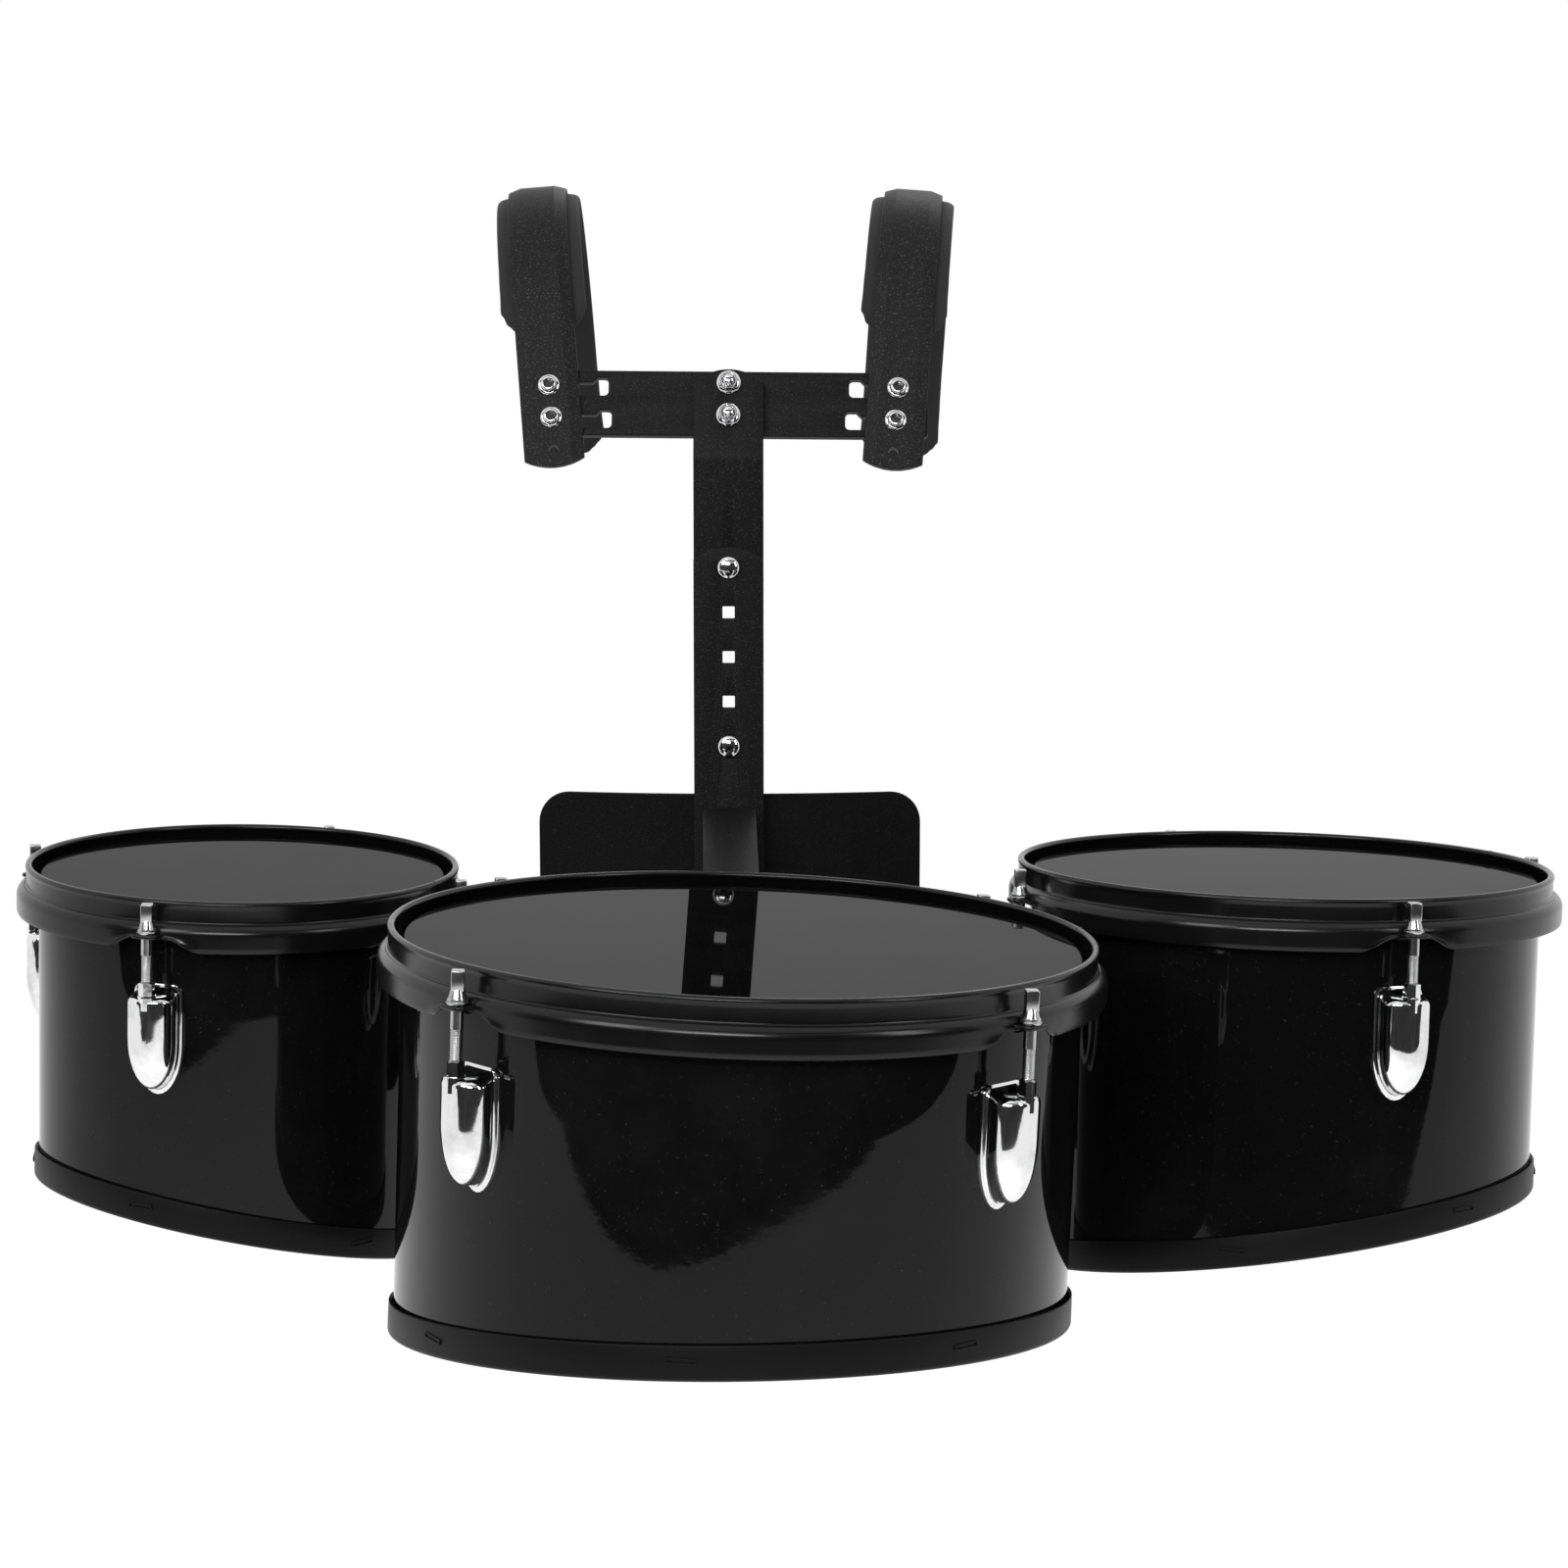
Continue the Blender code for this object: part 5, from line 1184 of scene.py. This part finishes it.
def nutBelow(seat, back):
    # A plain nut under its seat, chamfered on the free side, with the bolt's threaded end
    s = fastenerSizes
    nut = moved(hexNut(s["nut"], 0.0, s["nutHeight"], 0.7 * mm), move(z=seat) @ turnX(180))
    end = boltEnd(s["nutHeight"] + s["stickOut"] - back, -back)
    return [nut] + [moved(mesh, turnX(180)) for mesh in end]


def plainShank(low, high):
    return rod(bolt - 0.05 * mm, low, high, 32)


def buttonScrewMesh():
    s = fastenerSizes
    grip = -(2 * gap + carrier["plate"] + crossbarSizes["thick"])
    button, seat, flat = s["button"], s["washerThick"], s["buttonFlat"]
    top = seat + s["buttonHeight"]
    crown = [(0.0, top), (flat, top - 0.02 * mm)]
    for i in range(1, 9):
        angle = math.radians(90 * i / 8)
        rise = seat + 0.6 * mm + (s["buttonHeight"] - 0.6 * mm) * math.cos(angle)
        crown.append((flat + (button - flat) * math.sin(angle), rise))
    crown += [(button - 0.5 * mm, seat - 0.1 * mm), (0.0, seat - 0.1 * mm)]
    socket = rod(s["socket"] / math.sqrt(3), top - s["socketDepth"], top + 2 * mm, 6)
    head = cut(turned(crown, 56, False, 30.0), [socket])
    washer = turned([
        (bolt, seat - 0.15 * mm), (button - 0.1 * mm, seat - 0.15 * mm), (button + 0.15 * mm, seat),
        (s["washer"] - 0.6 * mm, seat - 0.1 * mm), (s["washer"], seat - 0.6 * mm),
        (s["washer"], gap + 0.2 * mm), (s["washer"] - 0.2 * mm, gap), (bolt, gap),
    ], 56, True)
    shank = plainShank(grip - 0.5 * mm, seat + 0.2 * mm)
    return joined([head, washer, shank] + nutBelow(grip - gap, grip))


def crossBoltMesh():
    s = fastenerSizes
    grip = -(gap + carrier["plate"] + crossbarSizes["thick"])
    nut = moved(hexNut(s["nut"], 0.0, s["nutHeight"] - 0.6 * mm, 0.8 * mm), move(z=gap))
    high, half = gap + s["nutHeight"], s["nut"] / 2
    ring = turned([
        (bolt + 0.6 * mm, high - 1.8 * mm), (bolt + 0.65 * mm, high - 0.3 * mm), (bolt + 1.0 * mm, high),
        (half - 0.75 * mm, high - 0.15 * mm), (half - 0.45 * mm, high - 0.6 * mm),
        (half - 0.45 * mm, high - 1.8 * mm),
    ], 48, True, 50.0)
    flangeTop, flangeOut = gap + s["flangeThick"], s["nutFlange"]
    flange = turned([
        (bolt, flangeTop + 0.9 * mm), (half, flangeTop + 0.5 * mm),
        (flangeOut - 0.4 * mm, flangeTop - 0.2 * mm), (flangeOut, gap + 0.8 * mm),
        (flangeOut - 0.1 * mm, gap), (bolt, gap),
    ], 56, True)
    seat = grip - gap
    head = turned([
        (0.0, seat), (s["washer"], seat), (s["washer"], seat - 0.8 * mm),
        (s["button"], seat - s["buttonHeight"]), (0.0, seat - s["buttonHeight"]),
    ], 40)
    shank = plainShank(grip - 0.5 * mm, gap + 1 * mm)
    return joined([nut, ring, flange, head, shank] + boltEnd(high + s["stickOut"], gap + 1 * mm))


def carriageBoltMesh():
    s = fastenerSizes
    back = -(2 * gap + 2 * carrier["plate"])
    seat = gap + 0.3 * mm
    dome = []
    for degrees in range(0, 91, 9):
        angle = math.radians(degrees)
        dome.append((s["dome"] * math.sin(angle), seat + (s["domeHeight"] - 0.3 * mm) * math.cos(angle)))
    head = turned(dome + [(s["dome"] - 0.1 * mm, gap), (0.0, gap)], 64, False, 40.0)
    half = s["neck"] / 2
    neck = plate([box(half, -half, half)], s["neckLong"], 0.2 * mm)
    moved(neck, move(z=gap + 0.2 * mm - s["neckLong"] / 2))
    shank = plainShank(back - 0.5 * mm, -4.0 * mm)
    return joined([head, neck, shank] + nutBelow(back, back))


buttonScrew = buttonScrewMesh()
for strapName, strapPlace in straps.items():
    makeStrap(strapName, strapPlace)

crossBolt = crossBoltMesh()
carriageBolt = carriageBoltMesh()
lowerPostFace = carrier["postFace"] - gap - carrier["plate"]
for row, level in pairLevels.items():
    place = carrierMatrix @ move(z=level * carrier["smallPitch"]) @ faceY @ turnZ(15 - 30 * level)
    node = f"crossbar_bolt_{row}"
    addPiece(f"flange_nut_{row}", crossBolt, brightZinc, "harness", "bright_fastener", place, node)
for row, level in pairLevels.items():
    drop = (0.5 - level) * (carrier["boltRow"] - 1) * carrier["pitch"]
    place = move(y=lowerPostFace, z=carrier["topBolt"] - drop) @ faceY
    node = f"carriage_bolt_{row}"
    addPiece(f"domed_bolt_{row}", carriageBolt, brightZinc, "drum_set", "bright_fastener", place, node)
say("fasteners built")


# Belly plate, its pad and the bracket

bellySizes = inMm({
    "width": 220.5, "top": -332.0, "height": 153.0, "corner": 18.0, "curve": 440.0, "plate": 3.0, "edge": 0.5,
    "pad": 16.5, "padInset": 1.2, "padBevel": 3.2, "padGrowth": 4.0, "voxel": 5.0, "cap": 3.0,
    "screwPlay": 2.8, "bossTop": -374.0, "bossHeight": 74.0, "bossCorner": 5.0, "bossEdge": 0.3,
})
bellyFace = carrier["postFace"] + carrier["plate"] + gap


def bowed(x, y):
    curve = bellySizes["curve"]
    return y + curve - math.sqrt(curve ** 2 - x ** 2)


def bellyOutline(inset):
    s = bellySizes
    middle, tall = s["top"] - s["height"] / 2, s["height"] / 2 - inset
    return box(s["width"] / 2 - inset, middle - tall, middle + tall, s["corner"], 10)


def makeBellyPlate():
    s = bellySizes
    outlines = [bellyOutline(0.0)]
    outlines += [ringOf(z, boltHole + s["screwPlay"]) for z in lowerPostSizes["screws"]]
    bm = bmeshOf(plate(outlines, s["plate"], s["edge"]))
    # Split across X so that it can be bowed
    columns = 40
    for i in range(1, columns):
        split(bm, (s["width"] * (i / columns - 0.5), 0, 0), (1, 0, 0))
    flat = moved(meshFrom(bm), move(y=s["plate"] / 2) @ faceY)
    for v in flat.vertices:
        v.co.y = bowed(v.co.x, bellyFace + v.co.y)
    thick = carrier["plate"] + gap + 1.0 * mm
    corners = box(carrier["postWidth"] / 2, s["bossTop"] - s["bossHeight"], s["bossTop"], s["bossCorner"])
    place = move(y=carrier["postFace"] + thick / 2) @ faceY
    boss = moved(plate([corners], thick, s["bossEdge"]), place)
    mesh = joined([flat, boss])
    addPiece("belly_shield", mesh, plateCoat, "drum_set", "carrier_coat", None, "belly_plate")


def makeBellyPad():
    # A sewn-edge foam cushion: inflated flat, then bowed round the plate
    s = bellySizes
    thick = s["pad"] - s["padGrowth"]
    base = plate([bellyOutline(s["padInset"])], thick, s["padBevel"])
    moved(base, move(y=thick / 2) @ faceY)
    mesh = pressed(base, lambda co: co.y < 0.8 * mm, s["cap"], s["voxel"])
    half = s["width"] / 2
    for v in mesh.vertices:
        v.co.x = max(-half, min(half, v.co.x))
        v.co.y = bowed(v.co.x, bellyFace + s["plate"] + gap + max(0.05 * mm, min(s["pad"], v.co.y)))
    pad = addPiece("belly_cushion", mesh, padCloth, "drum_set", "pad_foam", None, "belly_pad")


makeBellyPlate()
makeBellyPad()
for node, pieceName in (("support_arm", "drum_arm"), ("drum_rail", "side_rail")):
    mesh = bevelledCopy(node, carrier["edge"])
    addPiece(pieceName, mesh, shadedBarCoat, "drum_set", "carrier_coat", None, node)
carried = [f"{name}_mount_bolts" for name in drums] + ["belly_screw_upper", "belly_screw_lower"]
for node in carried:
    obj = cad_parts[node]
    obj.data.materials.clear()
    obj.data.materials.append(brightZinc)
say("belly plate, pad and bracket built")


# Studio

studio = {
    "floor": -1.42, "floorSize": 30.0, "floorAlbedo": 0.72, "worldLight": 0.42,
    "sun": 0.75, "sunSize": 50.0, "sunTurn": (60.0, 0.0, -24.0),
    "camera": (0.0314, -1.8157, -0.1017), "pitch": 90 - 7.49, "lens": 68.96, "sensor": 36.0,
}
lamps = {
    "keyBox": {"place": (-1.5, -2.3, 1.1), "size": (0.9, 1.2), "energy": 20.0},
    "frontBox": {"place": (-0.3, -3.0, 0.75), "size": (1.3, 0.35), "energy": 26.0},
    "fillBox": {"place": (1.9, -1.9, 0.7), "size": (0.5, 1.2), "energy": 12.0},
    "backBox": {"place": (0.6, 1.6, 1.5), "size": (1.4, 0.5), "energy": 8.0},
}
flags = {
    "lowFlag": {"reach": 72.0, "turn": 4.0, "top": 1.3, "low": -1.18, "ends": 0.75},
    "highFlag": {"reach": 70.0, "turn": 4.0, "top": 2.9, "low": 1.72, "ends": 0.0},
}
flagRing = {"radius": 2.7, "middle": (0.0, -0.5)}
aim = Vector((0.0, -0.35, -0.30))


def raysThatSee(tree):
    # 1 for camera, glossy and transmission rays, which meet the white backdrop itself
    path = tree.nodes.new("ShaderNodeLightPath").outputs
    seen = calc(tree, "MAXIMUM", path["Is Camera Ray"], path["Is Glossy Ray"])
    return calc(tree, "MAXIMUM", seen, path["Is Transmission Ray"])


def makeWorld():
    world = bpy.data.worlds.new("whiteStudio")
    bpy.context.scene.world = world
    world.use_nodes = True
    tree = world.node_tree
    light = studio["worldLight"]
    background = tree.nodes["Background"].inputs
    background["Color"].default_value = grey(1.0)
    feed(tree, background["Strength"], calc(tree, "MULTIPLY_ADD", raysThatSee(tree), 1 - light, light))


def makeFloor():
    bm = bmesh.new()
    half = studio["floorSize"] / 2
    bmesh.ops.create_grid(bm, x_segments=1, y_segments=1, size=half, matrix=move(z=studio["floor"]))
    floor = linked("studioFloor", meshFrom(bm))
    material, tree = newMaterial("paleFloor")
    tree.nodes.clear()
    albedo = studio["floorAlbedo"]
    slant = math.cos(math.radians(studio["sunTurn"][0]))
    lit = albedo * (studio["worldLight"] + studio["sun"] * slant / math.pi)
    glow = calc(tree, "MULTIPLY", raysThatSee(tree), max(0.0, 1.0 - lit))
    both = addNode(tree, "ShaderNodeAddShader", {
        0: addNode(tree, "ShaderNodeBsdfDiffuse", {"Color": grey(albedo)}).outputs[0],
        1: addNode(tree, "ShaderNodeEmission", {"Strength": glow}).outputs[0],
    })
    addNode(tree, "ShaderNodeOutputMaterial", {"Surface": both.outputs[0]})
    floor.data.materials.append(material)


def makeLamps():
    sun = bpy.data.lights.new("studioSun", "SUN")
    sun.energy = studio["sun"]
    sun.angle = math.radians(studio["sunSize"])
    lamp = linked("studioSun", sun)
    lamp.rotation_euler = [math.radians(a) for a in studio["sunTurn"]]
    for name, panel in lamps.items():
        light = bpy.data.lights.new(name, "AREA")
        light.shape = "RECTANGLE"
        light.size, light.size_y = panel["size"]
        light.energy = panel["energy"]
        lamp = linked(name, light)
        lamp.location = panel["place"]
        lamp.rotation_euler = (aim - Vector(panel["place"])).to_track_quat("-Z", "Y").to_euler()


def makeFlags():
    # Curved dark cloths round the camera, seen only as reflections in the plating and the wrap
    material, tree = newMaterial("flagCloth")
    inputs = tree.nodes["Principled BSDF"].inputs
    inputs["Roughness"].default_value = 1.0
    inputs["Specular IOR Level"].default_value = 0.0
    weave = noiseOf(tree, tree.nodes.new("ShaderNodeTexCoord").outputs["Object"], 3.0, 4.0)
    feed(tree, inputs["Base Color"], mixed(tree, weave, grey(0.015), grey(0.10)))
    for name, flag in flags.items():
        bm = bmesh.new()
        rows = []
        steps = 60
        for i in range(steps + 1):
            across = 2 * i / steps - 1
            angle = math.radians(flag["turn"] + flag["reach"] * across)
            x = flagRing["middle"][0] + flagRing["radius"] * math.sin(angle)
            y = flagRing["middle"][1] - flagRing["radius"] * math.cos(angle)
            # The lower edge sags in the middle
            low = flag["low"] + flag["ends"] * (1 - max(0.0, 1 - abs(across) ** 3) ** 0.4)
            rows.append((bm.verts.new((x, y, low)), bm.verts.new((x, y, flag["top"]))))
        for before, after in zip(rows, rows[1:]):
            bm.faces.new((before[0], after[0], after[1], before[1]))
        cloth = linked(name, meshFrom(bm))
        cloth.data.materials.append(material)
        cloth.visible_camera = False
        cloth.visible_shadow = False
        cloth.visible_diffuse = False


def makeCamera():
    data = bpy.data.cameras.new("photoView")
    data.lens = studio["lens"]
    data.sensor_width = studio["sensor"]
    camera = linked("photoView", data)
    camera.location = studio["camera"]
    camera.rotation_euler = (math.radians(studio["pitch"]), 0.0, 0.0)
    bpy.context.scene.camera = camera


makeWorld()
makeFloor()
makeLamps()
makeFlags()
makeCamera()
bpy.context.scene.view_settings.view_transform = "Standard"
say("studio ready")
